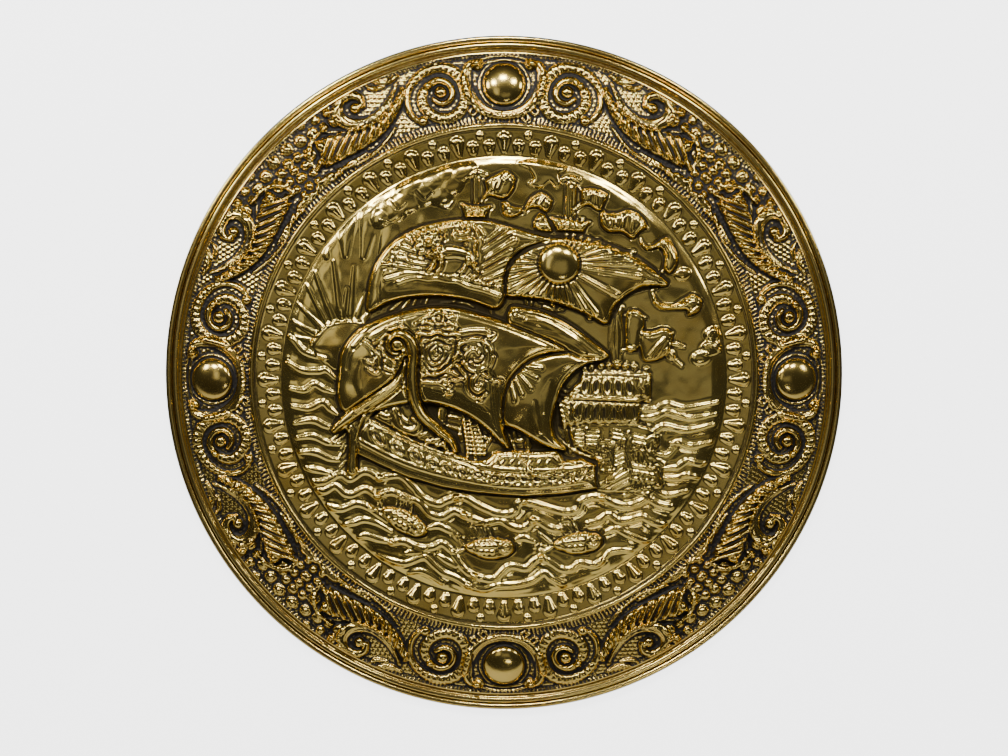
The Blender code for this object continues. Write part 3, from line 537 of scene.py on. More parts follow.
def draw_hull(r):
    """The hull with its chain of ovals, the deck and its rail, and the stern with its carving."""
    hull = [
        (-147, -44), (-133, -36), (-112, -48), (-85, -60), (-58, -71), (-49, -60), (-46, -72), (-30, -81),
        (-16, -79), (-8, -70), (52, -70.5), (60, -80), (78, -78), (91, -84), (92, -108), (60, -113),
        (20, -116), (-30, -112), (-60, -107), (-95, -97), (-120, -86), (-149, -72),
    ]
    r.plate(hull, 3.6, 3.0, edge=4, soft=False)
    top = [
        (-133, -37), (-110, -49), (-85, -61), (-60, -71), (-40, -78), (-20, -85), (0, -88.5), (30, -90),
        (60, -89), (90, -85),
    ]
    r.creased(top, 4.6, 1.6)
    r.ridge([(x, z - 5.6) for x, z in top], 2.4, 1.2)
    rail = [
        (-146, -58), (-120, -72), (-95, -83), (-70, -91), (-40, -98), (-10, -103), (20, -105.5), (50, -104),
        (90, -98),
    ]
    r.creased(rail, 4.4, 1.6)
    keel = [
        (-147, -72), (-120, -84), (-95, -95), (-60, -105), (-30, -110), (0, -113), (30, -114), (60, -112),
        (91, -107),
    ]
    r.ridge(keel, 3.2, 1.4)
    ovals = (
        (-125, -56, 9), (-106, -67, 7.6), (-87, -75, 8), (-71, -82, 6), (-56, -87, 7), (-41, -91, 5.4),
        (-25, -94, 7), (-9, -97, 5.4), (6, -98, 6.6), (20, -98, 4.4), (33, -98, 4.4), (48, -97, 5.4),
        (62, -96, 5), (74, -94.5, 4.6), (85, -93, 4.4),
    )
    for x, z, reach in ovals:
        turn = 90 + math.degrees(math.atan2(max(-x, -40) + 16, 140)) * (0.9 if x > -40 else 1.25)
        r.ring(x, z, 4.2, 2.4, 1.7, reach / 4.0, turn)
        r.dome(x, z, 2.4, -0.4, reach / 3.6, turn)
        r.dome(x, z, 1.3, 0.6, reach / 3.0, turn)
    deck = [
        (-50, -60), (-49, -68), (-44, -74), (-38, -78), (-28, -80.5), (-18, -79), (-12, -74), (-7, -71),
        (10, -71.5), (30, -72), (52, -71.5), (57, -77), (64, -80),
    ]
    r.ridge(deck, 3.2, 1.9)
    low_deck = [
        (-15, -84), (-9, -82), (-4, -76.5), (10, -75.5), (30, -76), (48, -75.5), (53, -80), (62, -83),
        (70, -82), (77, -78),
    ]
    r.ridge(low_deck, 2.6, 1.4)
    r.ribs([(-6, -81), (8, -81), (28, -81.5), (48, -81)], 9, 3.0, 2.2, 1.2, 35)
    field = [
        (-100, -6), (-92, -8), (-88, -28), (-76, -46), (-54, -60), (-52, -70), (-70, -66), (-110, -48),
        (-131, -37), (-118, -24), (-104, -12),
    ]
    r.plate(field, 3.4, 1.6, soft=False)
    r.creased([(-123, -31), (-118, -26), (-111, -28), (-112, -35), (-118, -36), (-123, -32)], 4, 1.4)
    r.strokes(
        2.8, 1.5, [(-112, -22), (-109, -16), (-103, -14), (-97, -19), (-96, -25)],
        [(-104, -10), (-97, -13), (-94, -21)],
    )
    leaf = [
        (-108, -20), (-107, -30), (-107, -41), (-102, -49), (-94, -52), (-86, -49), (-84, -42), (-89, -38),
    ]
    r.ridge(leaf, (4, 8, 9, 10, 8, 5), 2.4)
    r.strokes(2.2, 1.3, [(-105, -28), (-101, -36), (-95, -41)], [(-84, -55), (-76, -52), (-70, -56)])
    r.dome(-89, -38, 3, 1.4)
    for x, z in ((-70, -60), (-64, -58), (-66, -65), (-60, -63), (-76, -62), (-58, -69)):
        r.dome(x, z, 3.0, 1.5, 1.3, 40)
    stern = [
        (-96, 12), (-104, 2), (-116, -10), (-130, -21), (-150, -33), (-163, -40), (-166, -52), (-156, -50),
        (-154, -68), (-156, -92), (-146, -92), (-145, -60), (-138, -44), (-124, -28), (-110, -14), (-96, 0),
    ]
    r.plate(stern, 4.6, 1.6, edge=4)
    r.strokes(2.6, 1.5, [(-106, 6), (-116, -4), (-132, -16), (-150, -28), (-160, -34)])
    r.strokes(
        2.8, 1.5, [(-99, 4), (-110, -9), (-123, -22), (-138, -34), (-144, -46), (-147, -64), (-148, -88)],
    )
    r.strokes(2.4, 1.3, [(-134, -23), (-150, -36), (-170, -48)], [(-140, -34), (-156, -44), (-172, -62)])
    r.strokes(
        2.4, 1.2, [(-152, -46), (-160, -56), (-168, -62)], [(-157, -66), (-164, -78)],
        [(-156, -80), (-164, -88)],
    )


def draw_masts(r):
    """The masts, with their tops like small crowns."""
    r.ridge([(-27, 200), (-27, 173)], 5.4, 2.0)
    r.strokes(2.0, 1.4, [(-29.5, 199), (-29.5, 174)], [(-20, 198), (-16.5, 188), (-22, 175)])
    r.ridge([(-32, 201), (-26, 204), (-18, 202)], 4, 1.8)
    tops = (
        (((-42, 173), (-13, 171), (-18, 161), (-38, 161)), 165),
        (((46, 160), (84, 155), (78, 147), (52, 148)), 153),
    )
    for top, z in tops:
        r.plate(top, 3.0, 1.2, soft=False)
        left, right = top[3][0], top[2][0]
        r.strokes(
            2.6, 1.5, [top[0], ((top[0][0] + top[1][0]) / 2, top[0][1] - 3), top[1]], [top[3], top[2]],
        )
        r.studs([(left + 1, z), (right - 1, z)], 5.4, 2.0, 1.5)
        r.studs([(left - 1, z + 5.4), (right + 2, z + 5)], 5.4, 1.9, 1.4)
    r.ridge([(66, 196), (65, 158)], 9, 2.4, soft=False)
    r.strokes(2.0, 1.2, [(62, 194), (61, 160)], [(70, 194), (69, 160)], [(66, 190), (65, 160)])
    r.ridge([(58, 198), (65, 200), (73, 197)], 4.6, 2.0)


def draw_streamers(r):
    """The long streamers in the wind, in folds with lines chased along them."""
    folds = (
        (
            [
                (-18, 196), (-8, 201), (2, 205), (10, 200), (10, 190), (4, 181), (-4, 179), (-14, 182),
                (-21, 178), (-17, 187),
            ],
            2.6, 2.6,
        ),
        ([(-2, 176), (2, 176), (8, 171), (18, 168), (14, 163), (6, 161), (-1, 165)], 2.2, 1.8),
        (
            [
                (16, 164), (21, 169), (26, 178), (35, 184), (43, 182), (47, 174), (42, 166), (34, 170),
                (26, 170),
            ],
            2.6, 2.4,
        ),
        ([(38, 165), (31, 160), (29, 152), (35, 148), (47, 147), (44, 155)], 2.2, 1.4),
        (
            [(70, 167), (76, 173), (76, 187), (88, 188), (101, 183), (98, 173), (93, 167), (82, 173)], 2.6,
            2.2,
        ),
        (
            [
                (96, 168), (102, 164), (112, 164), (122, 167), (133, 163), (140, 152), (133, 146),
                (126, 140), (116, 146), (102, 147), (95, 155),
            ],
            2.8, 3.0,
        ),
        (
            [
                (134, 138), (141, 132), (150, 135), (158, 140), (166, 133), (171, 118), (164, 106),
                (158, 110), (159, 124), (152, 131), (140, 129),
            ],
            2.6, 2.2,
        ),
        (
            [
                (147, 92), (148, 83), (154, 76), (166, 74), (176, 78), (186, 85), (195, 78), (192, 68),
                (182, 64), (180, 70), (168, 70), (154, 71), (147, 79),
            ],
            2.4, 2.2,
        ),
    )
    for outline, level, bulge in folds:
        r.plate(outline, level, bulge)
    r.strokes(
        2.4, 1.3,
        [(-17, 196), (-8, 201), (2, 205), (11, 197)], [(-11, 186), (-8, 196)], [(-6, 188), (-2, 199)],
        [(0, 196), (6, 202)],
        [(0, 175), (3, 169)], [(6, 170), (18, 168)], [(20, 166), (26, 178), (36, 184), (47, 176)],
        [(26, 172), (32, 180)], [(34, 172), (40, 181)],
        [(71, 193), (77, 186), (88, 188), (101, 183)], [(69, 167), (76, 174)], [(84, 184), (83, 174)],
        [(91, 184), (91, 172)], [(96, 183), (96, 172)],
        [(97, 166), (103, 154)], [(99, 164), (112, 164), (122, 167), (134, 161), (141, 150)],
        [(137, 154), (127, 141)],
        [(118, 162), (116, 150)], [(127, 160), (126, 148)], [(108, 160), (109, 152)],
        [(134, 139), (137, 133), (146, 131), (154, 137), (162, 139), (170, 124)],
        [(155, 131), (159, 122), (158, 110), (154, 105)], [(158, 136), (162, 128)],
        [(150, 91), (146, 88), (149, 80), (156, 74), (168, 74), (178, 80), (187, 84), (195, 78)],
        [(176, 75), (186, 78)], [(184, 66), (190, 72)],
        [(40, 162), (32, 158)], [(33, 152), (40, 153)],
    )


def draw_ropes(r):
    """The netting and ladder before the lower sail, the ropes, and the gear between the sails."""
    back = [
        (-78, -24), (-50, -27), (-38, -34), (-20, -46), (0, -62), (6, -70), (-8, -72), (-28, -80),
        (-46, -74), (-50, -60), (-74, -42),
    ]
    r.plate(back, 0.4, 0.2, soft=False)
    r.ridge([(-60, -25), (-62, -42)], 8, 2.4)
    r.strokes(
        3, 1.6, [(-54, -36), (-43, -38)], [(-60, -44), (-44, -50)], [(-20, -57), (-8, -60)],
        [(-19, -68), (-11, -54)], [(-44, -54), (-42, -60)],
    )
    r.strokes(
        2.6, 2.2, [(-41, -34), (-38, -56), (-36, -78)], [(-34, -38), (-31, -58), (-28, -80)],
        [(-27, -42), (-22, -58), (-19, -75)],
    )
    for i in range(9):
        rung = [
            (-40 + 0.5 * i, -40 - 4.1 * i), (-33 + 0.7 * i, -41 - 4.1 * i), (-26.5 + 0.9 * i, -42 - 4 * i),
        ]
        r.ridge(rung, 1.9, 1.5)
    r.ridge([(24, -52), (24, -71)], 6, 2.2)
    r.strokes(
        3, 1.5, [(10, -52), (11, -59)], [(8, -61), (19, -60)], [(28, -60), (36, -64), (46, -65)],
        [(16, -50), (20, -53)],
    )
    for x, low in ((53, 66), (60, 72), (66, 79)):
        r.ridge([(x, -16), (low, -72)], 2.4, 1.9)
    r.strokes(
        2.4, 1.8, [(-112, 69), (-98, 81)], [(-93, 66), (-86, 82)], [(-80, 70), (-74, 83)],
        [(-104, 66), (-92, 81)],
    )
    r.strokes(
        2.4, 1.5, [(-62, 76), (-50, 77), (-38, 76), (-30, 72)], [(-50, 78), (-44, 81)],
        [(-14, 71), (-12, 64)],
    )


def draw_lion_sail(r):
    """The upper sail on the left, with a walking lion between chased rays."""
    lion_sail = [
        (-134, 68), (-134, 90), (-130, 106), (-122, 122), (-110, 136), (-92, 147), (-72, 154), (-48, 158),
        (-20, 158), (0, 153), (24, 146), (52, 138), (30, 132), (12, 124), (4, 106), (2, 84), (-8, 71),
        (-34, 79), (-62, 83), (-92, 82), (-114, 77),
    ]
    r.plate(lion_sail, 4.6, 4.0, edge=4)
    r.strokes(3, 1.1, [(-96, 144), (-76, 151.5), (-50, 156), (-22, 156), (0, 151), (26, 144), (46, 138)])
    r.strokes(2.4, -0.9, [(-122, 70), (-123, 92), (-119, 108), (-111, 122), (-99, 136)])
    r.strokes(
        3.2, 1.5,
        [
            (-116, 100), (-105, 103.5), (-95, 106), (-84, 106.5), (-76, 104), (-66, 105), (-56, 102),
            (-44, 103), (-34, 100), (-20, 96.5), (-5, 92),
        ],
    )
    r.strokes(
        3.4, 1.6,
        [
            (-104, 97), (-95, 100), (-85, 102), (-75, 100.5), (-66, 101), (-56, 99), (-46, 98), (-34, 93),
            (-20, 89.5), (-4, 84),
        ],
    )
    r.lined = 0
    r.strokes(9, -0.9, [(-112, 93), (-88, 95), (-62, 93), (-36, 86), (-10, 79)])
    r.lined = 0.8
    r.gain = 0.9
    r.strokes(
        (2.8, 4, 3), 1.6,
        [(-92, 146), (-87, 141)], [(-97, 140), (-90, 135)], [(-103, 133), (-93, 130), (-86, 127)],
        [(-108, 126), (-98, 124), (-94, 118), (-84, 116), (-77, 115)], [(-92, 123), (-86, 121), (-80, 120)],
        [(-107, 114.5), (-95, 112.5), (-82, 110)], [(-104, 121.5), (-98, 120.5)],
        [(-62, 152), (-61, 146)], [(-57, 153), (-57, 141)], [(-50, 153), (-50, 148)],
        [(-43, 154), (-41, 149)], [(-37, 153), (-34, 148)], [(-30, 152), (-26, 143)],
        [(-24, 150), (-20, 143)],
    )
    r.strokes(
        (5.4, 4.6, 4), 2.4, [(-67, 121), (-70, 112), (-74, 108.5)], [(-61, 121), (-62, 112), (-66, 107)],
    )
    r.strokes((5.4, 4, 4), 2.2, [(-35, 119), (-39, 110), (-43, 106)], [(-29, 114), (-27, 105), (-31, 102)])
    body = [(-68, 124), (-58, 126.5), (-46, 126.5), (-36, 123), (-30, 115)]
    r.ridge(body, (12, 12.5, 11, 10.5, 7), 3.0)
    x, z = -74, 135.5
    for i in range(10):
        turn = math.tau * i / 10
        lock = (x + 10.4 * math.sin(turn), z + 10.4 * math.cos(turn))
        r.dome(*lock, 3.6, 2.4, 1.25, math.degrees(turn), power=0.8)
    r.dome(x, z, 7.4, 4.0, power=0.7)
    r.strokes(
        2.2, -1.6, [(-79, 138.5), (-76.4, 137)], [(-69, 138.5), (-71.6, 137)],
        [(-77, 131.5), (-74, 130), (-71, 131.5)],
    )
    r.ridge([(-74, 139), (-74, 134)], 3, 1.4)
    tail = [
        (-27, 121), (-28, 130), (-27, 137), (-34, 139.5), (-43, 138.5), (-49, 141), (-48, 146),
        (-42, 144.5), (-35, 146),
    ]
    r.ridge(tail, (3.4, 3.4, 3.4, 5), 2.2)
    r.gain = USUAL_GAIN
    for x, z, size in ((-112, 114, 4), (-118, 114, 2.6), (-106, 130, 2.4), (-37.5, 134, 2.2)):
        r.dome(x, z, size, 1.8)
    right_rays = (
        ((-17, 138), (0, 151)), ((-20, 129), (6, 146)), ((-18, 121), (10, 138)), ((-20, 113), (6, 128)),
        ((-21, 106), (2, 118)), ((-19, 99), (0, 107)), ((-20, 95), (-2, 99)),
    )
    r.strokes((2.6, 5), 1.7, *right_rays)


def draw_sun_sail(r):
    """The upper sail on the right, with the sun in its rays."""
    sun_sail = [
        (1, 100), (6, 116), (18, 128), (36, 136), (60, 141), (92, 135), (130, 120), (162, 95), (138, 93),
        (120, 84), (108, 72), (101, 56), (84, 64), (64, 72), (40, 79), (20, 82), (2, 84),
    ]
    r.plate(sun_sail, 4.8, 3.6, edge=4)
    r.strokes((3, 6, 3), -1.8, [(2, 86), (1, 100), (6, 114), (16, 125), (32, 132.5), (50, 135)])
    ends = (
        (15, 29), (28, 31), (40, 33), (51, 38), (62, 45), (72, 52), (82, 74), (91, 78), (99, 80), (119, 64),
        (143, 61), (150, 62), (163, 41), (173, 39), (183, 37), (195, 36), (208, 38), (221, 44), (233, 50),
        (243, 56), (253, 52), (263, 50), (273, 42), (284, 33),
    )
    x, z = 54, 115.5
    r.rays(x, z, 22, ends, (3.2, 4.6), 1.8)
    r.dome(x, z, 20.5, 6.6)
    r.strokes(3.4, 1.6, [(76, 141), (92, 136), (112, 129), (131, 120), (145, 110), (160, 97)])
    r.strokes(3.0, 1.4, [(134, 114), (145, 106), (157, 98)], [(102, 58), (112, 76), (124, 87), (142, 93)])


def draw_fore_sails(r):
    """The narrow sail behind and the filled foresail in front of it."""
    rear = [
        (6, 72), (22, 71.5), (38, 68), (54, 61), (72, 50), (88, 38), (104, 24), (90, 20), (70, 20),
        (40, 30), (6, 50),
    ]
    r.plate(rear, 4.8, 3.2, edge=4)
    r.creased([(8, 70), (22, 70), (38, 66), (54, 59.5), (71, 49.5), (86, 37.5), (102, 25)], 4.4, 1.5)
    r.lined = 0
    r.strokes((4, 9, 4), 1.0, [(20, 60), (46, 54), (74, 38)], [(30, 48), (56, 42), (80, 28)])
    r.lined = USUAL_LINE
    r.strokes(2.6, 1.3, [(20, 84), (24, 72)], [(28, 82), (26, 72)], [(8, 68), (12, 64), (19, 62)])
    r.strokes(3, 1.4, [(36, 78), (44, 76), (56, 72)], [(40, 73), (48, 70), (58, 70)], [(46, 79), (50, 72)])
    fore = [
        (62, 29), (76, 24), (100, 21), (84, 17), (70, 9), (59, -3), (53, -18), (49, -34), (48, -46),
        (52, -58), (62, -70), (42, -66), (26, -57), (12, -49), (0, -44), (-6, -28), (-2, -6), (10, 8),
        (28, 22),
    ]
    r.plate(fore, 5.6, 5.0, edge=5)
    r.strokes(
        (3, 4.6), 1.6, [(21, 15), (36, 13)], [(18, 10), (31, 3)], [(15, 6), (26, -7)], [(11, 1), (17, -13)],
        [(7, -5), (10, -19)],
    )
    r.lined = 0
    r.strokes((4, 11, 5), 1.0, [(46, 0), (42, -14), (40, -30)], [(30, -20), (30, -36), (34, -52)])
    r.lined = USUAL_LINE
    r.ridge(
        [
            (100, 22), (84, 19.5), (71, 11.5), (60, 0), (54, -14), (50, -32), (49, -46), (54, -58),
            (66, -68), (80, -75), (97, -79),
        ],
        3, 1.7,
    )


def draw_main_sail(r):
    """The great lower sail, with a crowned shield among scrolls and leaves."""
    main_sail = [
        (-163, 12), (-161, 28), (-153, 41), (-143, 51), (-130, 58), (-108, 66), (-84, 72), (-60, 74),
        (-36, 70), (-10, 62), (22, 50), (44, 41), (64, 29), (44, 27), (26, 20), (12, 8), (4, -6), (0, -24),
        (0, -44), (6, -68), (-4, -62), (-18, -48), (-36, -35), (-58, -26), (-84, -22), (-110, -26),
        (-140, -34), (-160, -30), (-165, -10),
    ]
    r.plate(main_sail, 6.6, 6.0, edge=5)
    r.strokes(
        3.6, 1.2,
        [
            (-148, 34), (-138, 45), (-126, 53), (-110, 61), (-92, 66), (-74, 70), (-56, 70.5), (-38, 67),
            (-10, 59), (20, 48), (42, 39), (58, 31),
        ],
    )
    r.strokes(2.6, -1.0, [(-154, 12), (-152, 24), (-146, 36), (-139, 44), (-126, 51), (-106, 60)])
    r.strokes(
        3, 1.2, [(-10, 0), (-9, -18), (-7, -34), (-3, -50), (4, -66)], [(-5, 0), (-4, -18), (-3, -34)],
    )
    r.lined = 0
    r.strokes((4, 12, 4), 1.1, [(-140, 20), (-142, 0), (-136, -22)], [(-70, -8), (-40, -14), (-16, -30)])
    r.lined = 1.0
    r.gain = 0.85
    r.broad = 1.3
    shield = [
        (-84, 47), (-75, 46), (-65, 49), (-56, 46), (-45, 46), (-45, 30), (-49, 20), (-58, 11), (-70, 6),
        (-79, 13), (-83, 25),
    ]
    r.ridge(shield, 3.2, 1.9, closed=True)
    r.ridge(
        [
            (-80, 41), (-72, 41.5), (-65, 44), (-58, 41.5), (-50, 41), (-50, 30), (-54, 21), (-61, 15),
            (-70, 11), (-76, 16), (-80, 28),
        ],
        2.2, 1.3, closed=True,
    )
    r.ridge(
        [(-70, 38), (-62, 36), (-58, 28), (-62, 20), (-70, 17), (-75, 22), (-76, 32)], 2.3, 1.3,
        closed=True,
    )
    r.strokes(
        2.2, 1.4, [(-66, 35), (-70, 31), (-71, 26), (-67, 22), (-62, 26), (-63, 32)],
        [(-67, 31), (-68, 27), (-65, 26)],
    )
    r.strokes(
        2.6, 1.5, [(-80, 39.5), (-72, 40.5), (-65, 43), (-58, 40.5), (-52, 38.5)], [(-58, 34), (-54, 33)],
    )
    r.ring(-64, 62, 5.4, 2.4, 1.6)
    r.dome(-64, 62, 2.8, 1.4)
    r.strokes(
        2.8, 1.6,
        [(-88, 56), (-80, 61), (-72, 65), (-65, 69), (-58, 66), (-54, 60)],
        [(-80, 57), (-75, 59), (-70, 55)], [(-82, 52), (-76, 53), (-70, 51)],
        [(-58, 56), (-52, 57.5), (-47, 53)], [(-59, 52), (-53, 51.5), (-48, 50)],
    )
    r.dome(-51, 63, 3.4, 1.6)
    r.creased([(-46, 46.5), (-38, 48.5), (-28, 49.5), (-19, 49), (-15, 46)], 4.6, 1.8)
    r.strokes(3, 1.8, [(-17, 42), (-13, 43), (-10, 46)])
    spiral = [
        (-45, 35), (-37, 40), (-27, 42), (-18, 38), (-13, 30), (-14, 20), (-20, 13), (-28, 11), (-36, 15),
        (-38, 23), (-34, 30), (-28, 31), (-25, 27),
    ]
    r.ridge(spiral, (2.6, 3.6, 4.4, 4.6, 4, 3), 2.0)
    r.strokes(
        2.4, 1.6, [(-33, 19), (-27, 15), (-20, 18), (-17, 26), (-19, 34), (-21, 39)],
        [(-28, 20), (-23, 21), (-21, 24)],
    )
    r.dome(-46, 23, 4.4, 1.9, 1.6, 35)
    r.dome(-38, 32, 2.4, 1.6)
    r.strokes(
        3, 1.7,
        [(-56, 13), (-50, 15.5), (-43, 15)], [(-41, 19), (-36, 13), (-29, 9)],
        [(-46, 16), (-41, 10), (-38, 5), (-40, 1)],
        [(-80, 6), (-70, 7.5), (-60, 9.5), (-52, 10), (-46, 6)],
        [(-80, 0), (-70, -1), (-64, -1), (-58, -4), (-55, -7), (-52, -4)],
        [(-61, 1), (-56, 0), (-54, -3)], [(-52, 0.5), (-46, 1.5), (-42, 3)],
        [(-10, 24), (-12, 18), (-15, 11), (-13, 5)], [(-16, 4), (-10, 1), (-3, -1)], [(-22, 8), (-17, 5)],
    )
    r.ridge(
        [(-25, 8), (-30, 2), (-31, -6), (-27, -10), (-22, -8), (-22, -3), (-26, -4)], (3, 4.4, 4, 3), 1.9,
    )
    r.strokes(2.6, 1.5, [(-37, 4), (-37, -6), (-33, -13), (-25, -17), (-18, -13)])
    r.dome(-54, -11, 3.6, 1.5)
    r.dome(-23, -17, 3, 1.2)
    r.strokes(
        2.8, 1.6,
        [(-137, 39), (-132, 36), (-128, 31)], [(-134, 20), (-128, 18), (-126, 23)],
        [(-133, 12), (-129, 9), (-124, 8), (-122, 13)],
        [(-127, 31), (-123, 24), (-124, 14)], [(-118, 26), (-113, 23), (-108, 17)],
        [(-127, 37), (-120, 43), (-114, 46)],
        [(-124, 33), (-119, 39)], [(-113, 51), (-105, 53), (-98, 52), (-91, 45)], [(-102, 58), (-100, 53)],
        [(-118, 14), (-113, 11), (-108, 10)],
    )
    r.dome(-112, 17, 6, 1.6, 1.3, 150)
    r.gain = USUAL_GAIN
    r.broad = USUAL_BREADTH
    r.lined = USUAL_LINE
    r.ridge([(0, -44), (6, -58), (12, -71), (20, -82), (30, -95)], 3, 2.6)


def draw_post(r):
    """The tall smooth post in front of the sail, its head rolled up in a scroll."""
    stem = [
        (-96, 24), (-99, 10), (-106, -2), (-118, -12), (-133, -22), (-148, -32), (-162, -43), (-170, -52),
    ]
    r.band(stem, (5, 9, 12, 13, 13, 12, 9, 5), 8.4, 2.2, edge=4)
    r.ridge([(-98, 16), (-103, 2), (-114, -9), (-130, -19), (-147, -30)], 2.6, 1.5)
    r.ridge([(-96, 4), (-106, -9), (-120, -19), (-135, -30), (-143, -44)], 2.6, 1.5)
    post = [
        (-101, 29), (-107, 27), (-113, 31), (-114, 39), (-109, 45.5), (-101, 46.5), (-93, 41), (-89, 30),
        (-90, 12), (-90, -6), (-87, -22), (-79, -36), (-66, -48), (-53, -59), (-47, -72),
    ]
    r.band(post, (3, 6, 7, 8, 9, 11, 13, 13, 13, 13, 12, 11, 10, 8, 5), 10.5, 3.0, edge=5)
    r.dome(-104.5, 36, 6.0, 3.4)
    r.strokes(2.4, 1.5, [(-99, 30), (-98, 14), (-99, -2)], [(-80, 24), (-81, 6), (-82, -10), (-76, -26)])
    r.strokes(
        2.0, -1.6,
        [(-103, 43), (-95, 38), (-92, 28), (-93, 12), (-93, -6), (-90, -22), (-81, -37), (-67, -50)],
    )


def base_height(radius):
    """The sheet's plain profile, in metres above the wall, at a radius on the drawing grid."""
    radii = (0, 120, 206, 213, 218, 220.5, 246, 247.5, 248.6, 251, 252.2, 286, 318, 321)
    heights = (
        CROWN_HEIGHT,
        CROWN_HEIGHT - 0.0006,
        SHOULDER_HEIGHT,
        SHOULDER_HEIGHT - 0.0008,
        FOLD_HEIGHT + 0.0012,
        FOLD_HEIGHT,
        BORDER_INNER_HEIGHT,
        BORDER_INNER_HEIGHT + 0.0006,
        COLLAR_HEIGHT,
        COLLAR_HEIGHT,
        BORDER_INNER_HEIGHT,
        (BORDER_INNER_HEIGHT + BORDER_OUTER_HEIGHT) / 2,
        BORDER_OUTER_HEIGHT,
        BORDER_OUTER_HEIGHT,
    )
    soft = [np.interp(radius + shift, radii, heights) for shift in (-1.2, -0.6, 0.0, 0.6, 1.2)]
    return sum(soft) / len(soft)


def sheet_point(x, z, height):
    """A point of the drawing grid, at a height above the wall, as a place on the plaque."""
    radius = np.hypot(x, z)
    scale = np.interp(radius, GRID_RADII, SHEET_RADII) / np.maximum(radius, 1e-9)
    scale = np.where(radius < 1e-6, SHEET_RADII[1] / GRID_RADII[1], scale)
    return np.stack([x * scale, -height, MIDDLE_Z + z * scale], axis=-1)


def front_point(x, z, relief_at):
    return sheet_point(x, z, base_height(np.hypot(x, z)) + relief_at(x, z) * MM)


def finished_mesh(name, bm):
    mesh = bpy.data.meshes.new(name)
    bm.to_mesh(mesh)
    bm.free()
    mesh.shade_smooth()
    return mesh


def join_sheet(mesh, hollow, material):
    """Makes a mesh, with how hollow each of its points is, one of the pieces of the sheet."""
    layer = mesh.attributes.new("hollow", "FLOAT", "POINT")
    layer.data.foreach_set("value", hollow.astype(np.float32))
    mesh.materials.append(material)
    piece = bpy.data.objects.new(mesh.name, mesh)
    bpy.context.scene.collection.objects.link(piece)
    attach(piece, "root")
    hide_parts("plaque_sheet")


def pressed_piece(name, bm, point_at, hollow_at, material, back=False):
    """Lays a flat drawing-grid mesh on the sheet, with true normals, and adds it to the plaque."""
    flat = np.array([v.co for v in bm.verts])
    x, z = flat[:, 0], flat[:, 1]
    for vertex, place in zip(bm.verts, point_at(x, z)):
        vertex.co = place
    bmesh.ops.recalc_face_normals(bm, faces=bm.faces)
    bm.normal_update()
    facing = sum(f.normal.y * f.calc_area() for f in bm.faces)
    if (facing > 0) != back:
        bmesh.ops.reverse_faces(bm, faces=bm.faces)
    mesh = finished_mesh(name, bm)
    reach = NORMAL_REACH
    across = point_at(x + reach, z) - point_at(x - reach, z)
    up = point_at(x, z + reach) - point_at(x, z - reach)
    normals = np.cross(across, up) * (-1 if back else 1)
    normals /= np.linalg.norm(normals, axis=1)[:, None]
    mesh.normals_split_custom_set_from_vertices(normals.tolist())
    join_sheet(mesh, hollow_at(x, z), material)


def disc_mesh(rings, first, spacing):
    """A flat round mesh of square rings bent to circles, from ring `first` outwards."""
    bm = bmesh.new()
    bmesh.ops.create_grid(bm, x_segments=2 * rings, y_segments=2 * rings, size=rings)
    doomed = []
    for vertex in bm.verts:
        u, v = round(vertex.co.x), round(vertex.co.y)
        ring = max(abs(u), abs(v))
        if ring < first:
            doomed.append(vertex)
        if ring < max(first, 1):
            continue
        if abs(u) > abs(v):
            angle = math.pi / 4 * v / u + (math.pi if u < 0 else 0)
        else:
            angle = math.pi / 2 - math.pi / 4 * u / v + (math.pi if v < 0 else 0)
        vertex.co.x = ring * spacing * math.cos(angle)
        vertex.co.y = ring * spacing * math.sin(angle)
    bmesh.ops.delete(bm, geom=doomed, context="VERTS")
    return bm


